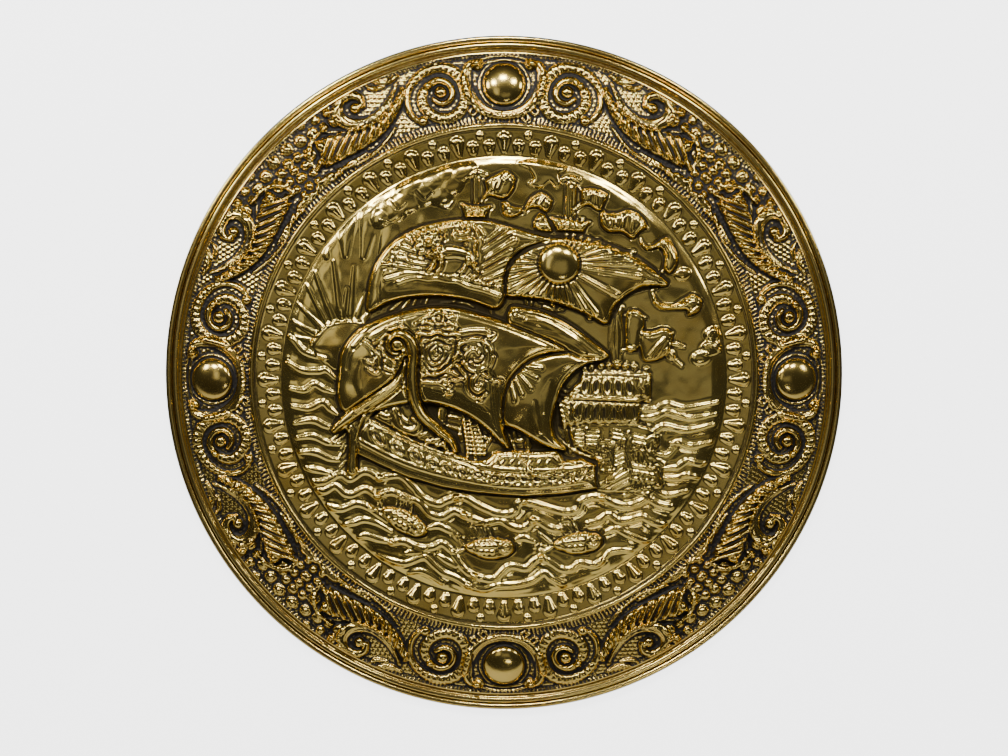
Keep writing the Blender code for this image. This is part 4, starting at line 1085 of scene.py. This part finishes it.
def patina_group():
    """Aged brass over a piece: polished where it stands proud, brown or grey where it is hollow."""
    group = bpy.data.node_groups.new("patina", "ShaderNodeTree")
    sockets = (
        ("Polished", "NodeSocketColor"),
        ("Warm", "NodeSocketColor"),
        ("Stain", "NodeSocketColor"),
        ("Stain From", "NodeSocketFloat"),
        ("Stain To", "NodeSocketFloat"),
        ("Grain", "NodeSocketFloat"),
    )
    for title, kind in sockets:
        group.interface.new_socket(title, in_out="INPUT", socket_type=kind)
    results = (
        ("Color", "NodeSocketColor"), ("Roughness", "NodeSocketFloat"), ("Height", "NodeSocketFloat"),
    )
    for title, kind in results:
        group.interface.new_socket(title, in_out="OUTPUT", socket_type=kind)
    nodes, links = group.nodes, group.links
    given, made = nodes.new("NodeGroupInput"), nodes.new("NodeGroupOutput")
    place = nodes.new("ShaderNodeTexCoord")
    hollow = nodes.new("ShaderNodeAttribute")
    hollow.attribute_name = "hollow"
    clouds = nodes.new("ShaderNodeTexNoise")
    clouds.inputs["Scale"].default_value = 38.0
    clouds.inputs["Detail"].default_value = 5.0
    fine = nodes.new("ShaderNodeTexNoise")
    fine.inputs["Scale"].default_value = 420.0
    fine.inputs["Detail"].default_value = 3.0
    for noise in (clouds, fine):
        links.new(place.outputs["Object"], noise.inputs["Vector"])
    shifted = nodes.new("ShaderNodeMath")
    shifted.operation = "MULTIPLY_ADD"
    shifted.inputs[1].default_value = 0.5
    links.new(fine.outputs["Fac"], shifted.inputs[0])
    links.new(hollow.outputs["Fac"], shifted.inputs[2])
    stained = nodes.new("ShaderNodeMapRange")
    stained.interpolation_type = "SMOOTHSTEP"
    links.new(shifted.outputs[0], stained.inputs["Value"])
    links.new(given.outputs["Stain From"], stained.inputs["From Min"])
    links.new(given.outputs["Stain To"], stained.inputs["From Max"])
    tint = nodes.new("ShaderNodeMapRange")
    tint.inputs["From Min"].default_value = 0.46
    tint.inputs["From Max"].default_value = 0.72
    links.new(clouds.outputs["Fac"], tint.inputs["Value"])
    warmed = nodes.new("ShaderNodeMix")
    warmed.data_type = "RGBA"
    links.new(tint.outputs["Result"], warmed.inputs["Factor"])
    links.new(given.outputs["Polished"], warmed.inputs["A"])
    links.new(given.outputs["Warm"], warmed.inputs["B"])
    colour = nodes.new("ShaderNodeMix")
    colour.data_type = "RGBA"
    links.new(stained.outputs["Result"], colour.inputs["Factor"])
    links.new(warmed.outputs["Result"], colour.inputs["A"])
    links.new(given.outputs["Stain"], colour.inputs["B"])
    links.new(colour.outputs["Result"], made.inputs["Color"])
    dull = nodes.new("ShaderNodeMapRange")
    dull.inputs["From Min"].default_value = 0.45
    dull.inputs["To Min"].default_value = 0.13
    dull.inputs["To Max"].default_value = 0.60
    links.new(stained.outputs["Result"], dull.inputs["Value"])
    worn = nodes.new("ShaderNodeMath")
    worn.operation = "MULTIPLY_ADD"
    worn.inputs[1].default_value = 0.10
    links.new(clouds.outputs["Fac"], worn.inputs[0])
    links.new(dull.outputs["Result"], worn.inputs[2])
    links.new(worn.outputs[0], made.inputs["Roughness"])
    grain = nodes.new("ShaderNodeMath")
    grain.operation = "MULTIPLY"
    links.new(fine.outputs["Fac"], grain.inputs[0])
    links.new(given.outputs["Grain"], grain.inputs[1])
    links.new(grain.outputs[0], made.inputs["Height"])
    return group


def brass(name, polished, warm, stain, stain_from, stain_to, grain):
    """A brass that shows the patina group's colours, with the metal's own constants."""
    material = bpy.data.materials.new(name)
    material.use_nodes = True
    nodes, links = material.node_tree.nodes, material.node_tree.links
    shader = nodes["Principled BSDF"]
    shader.inputs["Metallic"].default_value = 1.0
    patina = nodes.new("ShaderNodeGroup")
    patina.node_tree = bpy.data.node_groups.get("patina") or patina_group()
    patina.inputs["Polished"].default_value = (*polished, 1)
    patina.inputs["Warm"].default_value = (*warm, 1)
    patina.inputs["Stain"].default_value = (*stain, 1)
    patina.inputs["Stain From"].default_value = stain_from
    patina.inputs["Stain To"].default_value = stain_to
    patina.inputs["Grain"].default_value = grain
    bump = nodes.new("ShaderNodeBump")
    bump.inputs["Strength"].default_value = 0.25
    bump.inputs["Distance"].default_value = 0.0004
    links.new(patina.outputs["Height"], bump.inputs["Height"])
    links.new(bump.outputs["Normal"], shader.inputs["Normal"])
    links.new(patina.outputs["Color"], shader.inputs["Base Color"])
    links.new(patina.outputs["Roughness"], shader.inputs["Roughness"])
    return material


picture = Relief(-224, 224, -224, 224)
drawings = (
    draw_sky, draw_sea, draw_castle, draw_harbour, draw_hull, draw_masts, draw_streamers, draw_ropes,
    draw_lion_sail, draw_sun_sail, draw_fore_sails, draw_main_sail, draw_post,
)
for draw in drawings:
    draw(picture)
picture.finish(0.20)
picture_brass = brass(
    "picture_brass",
    polished=(0.82, 0.61, 0.16),
    warm=(0.74, 0.50, 0.11),
    stain=(0.050, 0.038, 0.018),
    stain_from=1.0,
    stain_to=1.65,
    grain=0.25,
)


def picture_at(x, z):
    fade = np.clip((MEDALLION_EDGE - 0.5 - np.hypot(x, z)) / 4, 0, 1)
    return picture.read(x, z) * fade


def picture_hollow(x, z):
    return picture.read(x, z, picture.hollow)


picture_parts = (("picture_middle", INNER_RINGS, 0), ("picture_margin", MEDALLION_RINGS, INNER_RINGS))
for title, rings, first in picture_parts:
    pressed_piece(
        title,
        disc_mesh(rings, first, 1.0),
        lambda x, z: front_point(x, z, picture_at),
        picture_hollow,
        picture_brass,
    )

# The bead band and the plain collar round the picture: drops, beads and dots pressed in a row of
# 32, then one smooth raised ring with a fine line along it. One map of an eighth of the round,
# repeated in mirror image, holds them and the border.
BEAD_SPOKE = 11.25
PEBBLE_UP = 4.2
PEBBLE_ACROSS = 4.9
PEBBLE_RADIUS = 2.35
PEBBLE_HEIGHT = 1.2
GROUND_DEPTH = 1.1
SPOKES = 8 * MEDALLION_RINGS
BAND_RINGS = 32


def ring_mesh(inner, outer, rings, spokes):
    """A flat ring between two radii of the drawing grid."""
    bm = bmesh.new()
    bmesh.ops.create_grid(bm, x_segments=spokes, y_segments=rings, size=0.5)
    for vertex in bm.verts:
        turn = (vertex.co.x + 0.5) * math.tau
        radius = inner + (vertex.co.y + 0.5) * (outer - inner)
        vertex.co.x = radius * math.cos(turn)
        vertex.co.y = radius * math.sin(turn)
    bmesh.ops.remove_doubles(bm, verts=bm.verts, dist=0.01)
    return bm


def draw_beads(r):
    """One eighth of the bead band: a drop on each spoke, a bead at its sides, a dot between."""
    r.gain, r.broad, r.lined = 1.0, 1.0, 0.2
    for i in range(6):
        spoke = math.radians(BEAD_SPOKE * i)
        sine, cosine = math.sin(spoke), math.cos(spoke)
        r.ridge(
            [(226 * sine, 226 * cosine), (236.5 * sine, 236.5 * cosine)], (6, 13.8), (1.4, 3.1), power=0.85,
        )
        for side in (-1, 1):
            turn = spoke + side * math.radians(BEAD_SPOKE * 0.32)
            sine, cosine = math.sin(turn), math.cos(turn)
            r.ridge(
                [(226.5 * sine, 226.5 * cosine), (230.5 * sine, 230.5 * cosine)], (8.5, 11.4), (1.7, 2.6),
                power=0.85,
            )
        turn = spoke + math.radians(BEAD_SPOKE / 2)
        r.dome(240.7 * math.sin(turn), 240.7 * math.cos(turn), 3.6, 1.7, power=0.85)
    for far, width, depth in ((246.6, 2.6, -0.8), (249.8, 1.8, -1.0)):
        arc = [(far * math.sin(math.radians(a)), far * math.cos(math.radians(a))) for a in range(-3, 49, 3)]
        r.ridge(arc, width, depth)


def draw_boss(r):
    """The boss on the axis, in its ring and its frame of strapwork."""
    r.gain, r.broad, r.lined = 0.9, 1.0, 0.7
    r.dome(0, 290, 21.5, 8.0, power=0.5)
    r.ring(0, 290, 24, 2.6, 1.0)
    strap_path = [
        (27, 311), (33, 309.5), (37, 303), (37.5, 294), (35, 283), (29, 272.5), (19, 264), (8, 260.5),
        (0, 259.5),
    ]
    r.ridge(strap_path, (7.5, 10.5, 10.5, 9.5), 3.4, power=0.6)
    r.ridge([(x * 0.93, z + 1.2) for x, z in strap_path[1:]], 1.9, -1.8)
    r.dome(26, 310, 6.4, 4.2)
    r.ridge([(22, 315), (12, 317), (0, 317.5)], 2.6, 1.6)
    r.ridge([(20, 310), (12, 313), (0, 313.8)], 2.2, 1.4)
    for x, z in ((30, 263), (21, 256.8)):
        r.ridge([(x + 4.4, z), (x, z + 4), (x - 4.4, z), (x, z - 4)], 2.6, 1.9, closed=True, soft=False)


def draw_volute(r):
    """The laddered scroll that curls round a bead beside the frame."""
    volute = [
        (84.5, 254), (92, 262), (95, 275), (92.5, 287), (84, 298), (73, 305), (61, 307), (50, 303),
        (42, 295), (38, 284), (38, 273), (43, 263), (52, 257), (62, 256.5), (72, 261), (79, 269), (80, 279),
        (75, 288),
    ]
    r.ridge(volute, (5, 6, 10.4, 11.2, 11.2, 11, 10.4, 9), 2.8, power=0.5)
    r.ribs(volute[3:], 6.1, 3.6, 2.2, -1.5)
    r.ridge(
        [
            (75, 288), (67, 293.5), (58, 292.5), (52, 287), (50.5, 279.5), (54.5, 273), (62, 271),
            (68.5, 275),
        ],
        (8, 6.5, 6, 5), 3.8, power=0.5,
    )
    r.dome(62, 282.5, 6.2, 4.4)
    r.dome(79, 254, 5.0, 3.6)


def draw_horn(r):
    """The ribbed horn, with the long scroll that curls beside it."""
    horn = [(98, 287), (104, 272), (113, 258), (125, 246), (139, 238), (154, 232), (168, 227), (181, 221)]
    r.band(horn, (6, 10, 13, 17, 21, 25, 28, 29), 2.2, 2.6, edge=7)
    r.ribs(horn, 9.8, (4, 8, 13, 17.5), (3.4, 5.6, 6.4), 3.4, -44)
    r.ridge([(116, 262), (128, 252), (144, 246), (160, 244), (174, 243)], (2.4, 3.6, 3), 2.0)
    r.ridge([(174, 249), (184, 240), (191, 228), (190, 215), (183, 207)], (4, 7, 7, 5), 2.6)
    r.ridge([(106, 247), (116, 233), (130, 220), (148, 210), (164, 207)], (2.6, 4.5, 3), 2.0)
    scroll = [
        (106, 291), (112, 275), (121, 262), (133, 252.5), (146, 250), (158, 254), (164, 264), (160, 275),
        (151, 280), (142, 277), (139, 269),
    ]
    r.ridge(scroll, (3, 6, 8, 11, 13, 13, 12, 11, 10, 8, 6), (1.6, 3.0, 4.4, 4.6, 4.2), power=0.5)
    r.ridge(
        [(108, 288), (114, 274), (123, 262), (134, 254.5), (146, 252), (156, 257), (160, 265), (156, 273)],
        1.9, -1.6,
    )
    r.dome(146, 267, 5.6, 4.6)


def draw_leaves_and_fruit(r):
    """The berries by the scroll, the leaves, and the fruit heaped on the diagonal."""
    for x, z, size in ((167, 254, 5.5), (173, 264, 6), (171, 275, 5.5), (163, 283, 5), (154, 288, 4.6)):
        r.dome(x, z, size, 3.0, 1.25, 60)
    r.ridge([(104, 299), (114, 294), (124, 293), (134, 297)], (3, 8, 7, 3), 3.0)
    r.ridge([(108, 297), (118, 293.5), (128, 294.5)], 1.8, -1.2)
    r.ridge([(118, 288), (128, 286), (136, 289)], (3, 6, 3), 2.2)
    r.ridge([(134, 222), (150, 212), (162, 203), (166, 196)], (3, 6, 7, 3), 2.4)
    r.ridge([(158, 204), (170, 199), (180, 190), (184, 182)], (3, 10, 9, 3), 2.8)
    r.ridge([(162, 203), (173, 196), (181, 186)], 1.9, -1.4)
    fruit = (
        (203, 219, 5.6), (206, 206, 5.2), (195, 211, 5.2), (198, 200, 5.0), (187, 204, 4.8),
        (191, 191, 4.8), (212, 213, 5.4), (182, 196, 4.4), (180, 213, 4.8), (181, 230, 5.4),
        (177, 248, 5.4), (186, 256, 5.2), (175, 262, 4.6), (200, 250, 4.8),
    )
    for x, z, size in fruit:
        r.dome(x, z, size, 2.7, power=0.85)
    for x, z, size in ((191, 222, 7.6), (200, 235, 6.6), (214, 227, 6.8), (188, 242, 6.4)):
        r.dome(x, z, size, 2.9, power=0.85)
        r.ring(x, z, 0.5 * size, 1.8, -1.4)


def draw_ground(r):
    """The pebbled ground between the figures, and the notched lines at its two edges."""
    row = np.round(r.z[:, None] / PEBBLE_UP)
    shift = r.x[None, :] - PEBBLE_ACROSS / 2 * (row % 2)
    across = shift - PEBBLE_ACROSS * np.round(shift / PEBBLE_ACROSS)
    far = across**2 + (r.z[:, None] - PEBBLE_UP * row) ** 2
    pebbles = PEBBLE_HEIGHT * np.sqrt(np.clip(1 - far / PEBBLE_RADIUS**2, 0, None))
    radius = np.hypot(r.x[None, :], r.z[:, None])
    ground = np.exp(-((r.height / 0.7) ** 2)) * (radius > 252.5) * (radius < 320)
    r.height += ground * (pebbles - GROUND_DEPTH)
    for far, half in ((256, 2.6), (319.5, 1.6)):
        arc = [(far * math.sin(math.radians(a)), far * math.cos(math.radians(a))) for a in range(0, 49, 2)]
        r.ribs(arc, 3.9, half, 2.2, 1.0, 10)
    low, high = np.searchsorted(r.x, (-20, 0))
    r.height[:, low:high] = r.height[:, 2 * high - low : high : -1]


eighth = Relief(-20, 246, 140, 330)
for draw in (draw_beads, draw_boss, draw_volute, draw_horn, draw_leaves_and_fruit, draw_ground):
    draw(eighth)
eighth.height *= 1.1
eighth.finish(0.05)
eighth.hollow += 0.55 * np.exp(-(((eighth.height + 1.3) / 0.6) ** 2))


def folded(x, z):
    """The place in the drawn eighth that any place on the border repeats."""
    radius = np.hypot(x, z)
    turn = np.arctan2(x, z) % (math.pi / 2)
    turn = np.minimum(turn, math.pi / 2 - turn)
    return radius * np.sin(turn), radius * np.cos(turn)


def border_at(x, z):
    radius = np.hypot(x, z)
    fade = np.clip((radius - MEDALLION_EDGE) / 2, 0, 1) * np.clip((BORDER_EDGE - radius) / 2, 0, 1)
    return eighth.read(*folded(x, z)) * fade


def border_hollow(x, z):
    return eighth.read(*folded(x, z), eighth.hollow)


band_brass = brass(
    "band_brass",
    polished=(0.78, 0.57, 0.15),
    warm=(0.66, 0.44, 0.09),
    stain=(0.06, 0.044, 0.020),
    stain_from=1.1,
    stain_to=1.9,
    grain=0.25,
)
pressed_piece(
    "bead_band_and_collar",
    ring_mesh(GRID_RADII[1], GRID_RADII[3], BAND_RINGS, SPOKES),
    lambda x, z: front_point(x, z, border_at),
    border_hollow,
    band_brass,
)

# The border: bosses in strap frames, laddered scrolls, horns of fruit and leaves on a pebbled
# ground. Its hollows keep a grey-brown stain, and its high places are rubbed bright.
BORDER_RINGS = 56
border_brass = brass(
    "border_brass",
    polished=(0.75, 0.54, 0.14),
    warm=(0.63, 0.42, 0.10),
    stain=(0.050, 0.046, 0.042),
    stain_from=1.0,
    stain_to=1.6,
    grain=0.4,
)
pressed_piece(
    "border",
    ring_mesh(GRID_RADII[3], GRID_RADII[4], BORDER_RINGS, SPOKES),
    lambda x, z: front_point(x, z, border_at),
    border_hollow,
    border_brass,
)

# The edge of the sheet: a dark groove, a flat band, a second groove, and the sheet's own edge
# rolled round into a bead. It is turned smooth, so it has no relief.
RIM_BACK = 0.0023
BAND_INNER = 0.2943
BAND_OUTER = 0.2984
BAND_HEIGHT = 0.0069
GAP_RADIUS = 0.2996
GAP_HEIGHT = 0.0044
BEAD_WIDTH = 0.0054
GROOVE_INNER = 0.2922
GROOVE_OUTER = 0.2932
GROOVE_DARKEST = 0.2926
GROOVE_HEIGHT = 0.0049
GROOVE_LIP = 0.0057
GROOVE_STAIN = 0.0012
GAP_STAIN = 0.0008
BAND_FOOT = 0.2940
BAND_FOOT_HEIGHT = 0.0058
BAND_ARC_HEIGHT = 0.0062
BAND_ARC_HALF = 0.0021
BAND_ARC_RISE = 0.0011
BEAD_HEIGHT = 0.0047
RIM_SEGMENTS = SPOKES // 2


def arc_points(middle, height, half_width, rise, first, last, count):
    """Points on an arc in the edge's section, from one heading to another, in degrees from up."""
    turns = [math.radians(first + (last - first) * i / (count - 1)) for i in range(count)]
    return [(middle + half_width * math.sin(t), height + rise * math.cos(t)) for t in turns]


def rolled_edge():
    """The section from the border outwards, round the bead and back under, spun round the middle."""
    bead = PLAQUE_RADIUS - BEAD_WIDTH / 2
    profile = [
        (BORDER_OUTER, BORDER_OUTER_HEIGHT), (BORDER_OUTER + 0.0008, BORDER_OUTER_HEIGHT - 0.0002),
        (BORDER_OUTER + 0.0014, GROOVE_LIP), (GROOVE_INNER, GROOVE_HEIGHT), (GROOVE_OUTER, GROOVE_HEIGHT),
        (BAND_FOOT, BAND_FOOT_HEIGHT),
    ]
    band = (BAND_INNER + BAND_OUTER) / 2
    profile += arc_points(band, BAND_ARC_HEIGHT, BAND_ARC_HALF, BAND_ARC_RISE, -80, 80, 9)
    profile += [
        (BAND_OUTER + 0.0004, 0.0056), (GAP_RADIUS - 0.0002, GAP_HEIGHT), (GAP_RADIUS + 0.0002, GAP_HEIGHT),
    ]
    profile += arc_points(bead, RIM_BACK + BEAD_HEIGHT / 2, BEAD_WIDTH / 2, BEAD_HEIGHT / 2, -75, 205, 22)
    profile += [
        (GAP_RADIUS, GAP_HEIGHT - SHEET), (BAND_OUTER, BAND_HEIGHT - SHEET),
        (BAND_INNER, BAND_HEIGHT - SHEET),
    ]
    profile += [
        (GROOVE_OUTER - 0.0002, GROOVE_HEIGHT - SHEET), (GROOVE_INNER - 0.0002, GROOVE_HEIGHT - SHEET),
    ]
    profile += [(BORDER_OUTER + 0.0014, GROOVE_LIP - SHEET), (BORDER_OUTER, BORDER_OUTER_HEIGHT - SHEET)]
    bm = bmesh.new()
    corners = [bm.verts.new((radius, -height, MIDDLE_Z)) for radius, height in profile]
    edges = [bm.edges.new(pair) for pair in zip(corners, corners[1:])]
    bmesh.ops.spin(
        bm,
        geom=corners + edges,
        cent=(0, 0, MIDDLE_Z),
        axis=(0, 1, 0),
        angle=math.tau,
        steps=RIM_SEGMENTS,
        use_merge=True,
    )
    bmesh.ops.remove_doubles(bm, verts=bm.verts, dist=0.000001)
    bmesh.ops.recalc_face_normals(bm, faces=bm.faces)
    top = max(bm.faces, key=lambda f: -f.calc_center_median().y)
    if top.normal.y > 0:
        bmesh.ops.reverse_faces(bm, faces=bm.faces)
    mesh = finished_mesh("rolled_edge", bm)
    places = np.empty(len(mesh.vertices) * 3)
    mesh.vertices.foreach_get("co", places)
    places = places.reshape(-1, 3)
    radius = np.hypot(places[:, 0], places[:, 2] - MIDDLE_Z)
    depth = -places[:, 1]
    first_groove = np.exp(-(((radius - GROOVE_DARKEST) / GROOVE_STAIN) ** 2))
    groove = first_groove + np.exp(-(((radius - GAP_RADIUS) / GAP_STAIN) ** 2))
    hollow = np.where(depth < GAP_HEIGHT + 0.001, groove * 0.9, groove * 0.5 - 0.2)
    edge_brass = brass(
        "edge_brass",
        polished=(0.80, 0.58, 0.17),
        warm=(0.62, 0.40, 0.10),
        stain=(0.06, 0.032, 0.010),
        stain_from=0.5,
        stain_to=1.15,
        grain=0.4,
    )
    join_sheet(mesh, hollow, edge_brass)


rolled_edge()

# The sheet's back: the same relief seen hollow and softened, one thickness behind the front.
# Unpolished brass, darker than the front.
BACK_RINGS = 150
VALLEY_CELLS = 10
VALLEY_SOFTNESS = 1.6
VALLEY_SINK = 0.3
BACK_DULLNESS = 1.15


def valleys(relief):
    """The height that the back follows: the lowest places of the front near each, softened."""
    low = relief.height
    for axis in (0, 1):
        stack = [np.roll(low, shift, axis) for shift in range(-VALLEY_CELLS, VALLEY_CELLS + 1)]
        low = np.minimum.reduce(stack)
    return relief.softened(VALLEY_SOFTNESS, low) - VALLEY_SINK


picture_low = valleys(picture)
eighth_low = valleys(eighth)


def back_relief(x, z):
    radius = np.hypot(x, z)
    inside = np.clip((MEDALLION_EDGE - 2 - radius) / 6, 0, 1) * picture.read(x, z, picture_low)
    outside = np.clip((radius - (MEDALLION_EDGE + 2)) / 6, 0, 1)
    outside = outside * np.clip((BORDER_EDGE - 1 - radius) / 8, 0, 1)
    outside = outside * eighth.read(*folded(x, z), eighth_low)
    return np.where(radius < MEDALLION_EDGE, inside, outside)


def back_point(x, z):
    radius = np.hypot(x, z)
    low = np.minimum(base_height(radius - 1.5), base_height(radius + 1.5))
    return sheet_point(x, z, np.minimum(low, base_height(radius)) + back_relief(x, z) * MM - SHEET)


back_brass = brass(
    "back_brass",
    polished=(0.46, 0.35, 0.14),
    warm=(0.38, 0.25, 0.09),
    stain=(0.30, 0.21, 0.08),
    stain_from=0.5,
    stain_to=1.6,
    grain=1.4,
)
pressed_piece(
    "sheet_back",
    disc_mesh(BACK_RINGS, 0, GRID_RADII[4] / BACK_RINGS),
    back_point,
    lambda x, z: np.full(len(x), BACK_DULLNESS),
    back_brass,
    back=True,
)

# The hanger strap: a flat brass bar with a hole for the nail, soldered by its ends to the rolled
# edge. It stays as the solid is, and takes the dull brass of the back.
strap = bpy.data.objects["hanger_strap"]
strap.data.materials.clear()
strap_brass = brass(
    "strap_brass",
    polished=(0.46, 0.37, 0.18),
    warm=(0.38, 0.27, 0.12),
    stain=(0.36, 0.28, 0.12),
    stain_from=-0.8,
    stain_to=0.4,
    grain=1.6,
)
strap.data.materials.append(strap_brass)

# The room: a pale wall that the plaque hangs on, a pale floor, and soft lamps above and beside.
# The wall is seen only from the front and lets light through, so that the lamps behind it show
# the plaque's back.
WALL_Y = 0.0012
FLOOR_Z = -1.15
FLOOR_DEEP = 0.6
ROOM = 3.0


def pale(name, shade, glow, one_sided):
    material = bpy.data.materials.new(name)
    material.use_nodes = True
    nodes, links = material.node_tree.nodes, material.node_tree.links
    shader = nodes["Principled BSDF"]
    shader.inputs["Base Color"].default_value = (shade, shade, shade, 1)
    shader.inputs["Roughness"].default_value = 0.9
    shader.inputs["Emission Color"].default_value = (1, 1, 1, 1)
    shader.inputs["Emission Strength"].default_value = glow
    if one_sided:
        side = nodes.new("ShaderNodeNewGeometry")
        path = nodes.new("ShaderNodeLightPath")
        facing = nodes.new("ShaderNodeMath")
        facing.operation = "SUBTRACT"
        facing.use_clamp = True
        clear = nodes.new("ShaderNodeBsdfTransparent")
        mix = nodes.new("ShaderNodeMixShader")
        links.new(path.outputs["Is Camera Ray"], facing.inputs[0])
        links.new(side.outputs["Backfacing"], facing.inputs[1])
        links.new(facing.outputs[0], mix.inputs["Fac"])
        links.new(clear.outputs["BSDF"], mix.inputs[1])
        links.new(shader.outputs["BSDF"], mix.inputs[2])
        links.new(mix.outputs["Shader"], nodes["Material Output"].inputs["Surface"])
    return material


def staged_plane(name, corners, material):
    bm = bmesh.new()
    bm.faces.new([bm.verts.new(corner) for corner in corners])
    mesh = bpy.data.meshes.new(name)
    bm.to_mesh(mesh)
    bm.free()
    mesh.materials.append(material)
    plane = bpy.data.objects.new(name, mesh)
    bpy.context.scene.collection.objects.link(plane)


wall_corners = (
    (-ROOM, WALL_Y, FLOOR_Z), (ROOM, WALL_Y, FLOOR_Z), (ROOM, WALL_Y, ROOM), (-ROOM, WALL_Y, ROOM),
)
staged_plane("wall", wall_corners, pale("wall_paint", 0.86, 3.4, True))
floor_corners = (
    (-ROOM, -FLOOR_DEEP, FLOOR_Z), (ROOM, -FLOOR_DEEP, FLOOR_Z), (ROOM, WALL_Y, FLOOR_Z),
    (-ROOM, WALL_Y, FLOOR_Z),
)
staged_plane("floor", floor_corners, pale("floor_paint", 0.80, 0.0, False))

world = bpy.data.worlds.new("studio")
bpy.context.scene.world = world
world.use_nodes = True
world.node_tree.nodes["Background"].inputs["Color"].default_value = (1.0, 1.0, 1.0, 1)
world.node_tree.nodes["Background"].inputs["Strength"].default_value = 0.035


def lamp(name, place, aim, width, height, power):
    light = bpy.data.lights.new(name, "AREA")
    light.shape = "RECTANGLE"
    light.size = width
    light.size_y = height
    light.energy = power
    made = bpy.data.objects.new(name, light)
    made.location = place
    run = np.array(aim) - np.array(place)
    made.rotation_euler = (
        math.atan2(math.hypot(run[0], run[1]), -run[2]),
        0,
        math.atan2(run[1], run[0]) - math.pi / 2,
    )
    bpy.context.scene.collection.objects.link(made)


plaque_middle = (0, -0.02, MIDDLE_Z)
lamps = (
    ("upper_left", (-0.75, -1.3, 0.75), 0.28, 0.18, 12.0),
    ("upper_middle", (-0.05, -1.15, 0.95), 0.34, 0.14, 12.0),
    ("upper_right", (0.70, -1.25, 0.80), 0.30, 0.20, 8.0),
    ("high_left", (-1.3, -0.9, 0.5), 0.22, 0.36, 6.0),
    ("high_right", (1.35, -0.8, 0.4), 0.22, 0.36, 4.0),
    ("low_front", (0.30, -1.4, -1.0), 0.30, 0.07, 0.7),
    ("left_panel", (-0.80, -2.1, 0.05), 0.55, 0.80, 1.0),
    ("front_panel", (0.2, -2.4, -0.35), 1.10, 0.60, 0.42),
    ("behind_left", (-1.3, 1.5, 0.2), 0.90, 0.90, 16.0),
    ("behind_right", (1.2, 1.7, 0.5), 0.90, 0.90, 12.0),
)
for title, place, width, height, power in lamps:
    lamp(title, place, plaque_middle, width, height, power)

# The camera stands a little above the plaque's middle, straight in front of it. Its lens makes
# the plaque's radius as many pixels as in the photo.
CAMERA_AWAY = 1.6
CAMERA_UP = math.radians(5.5)
IMAGE_WIDE = 1008
RADIUS_PIXELS = 337.2
sight = bpy.data.cameras.new("camera")
sight.sensor_width = 36.0
sight.lens = RADIUS_PIXELS * sight.sensor_width / IMAGE_WIDE * CAMERA_AWAY / PLAQUE_RADIUS
camera = bpy.data.objects.new("camera", sight)
camera.location = (0, -CAMERA_AWAY * math.cos(CAMERA_UP), MIDDLE_Z + CAMERA_AWAY * math.sin(CAMERA_UP))
camera.rotation_euler = (math.pi / 2 - CAMERA_UP, 0, 0)
bpy.context.scene.collection.objects.link(camera)
bpy.context.scene.camera = camera
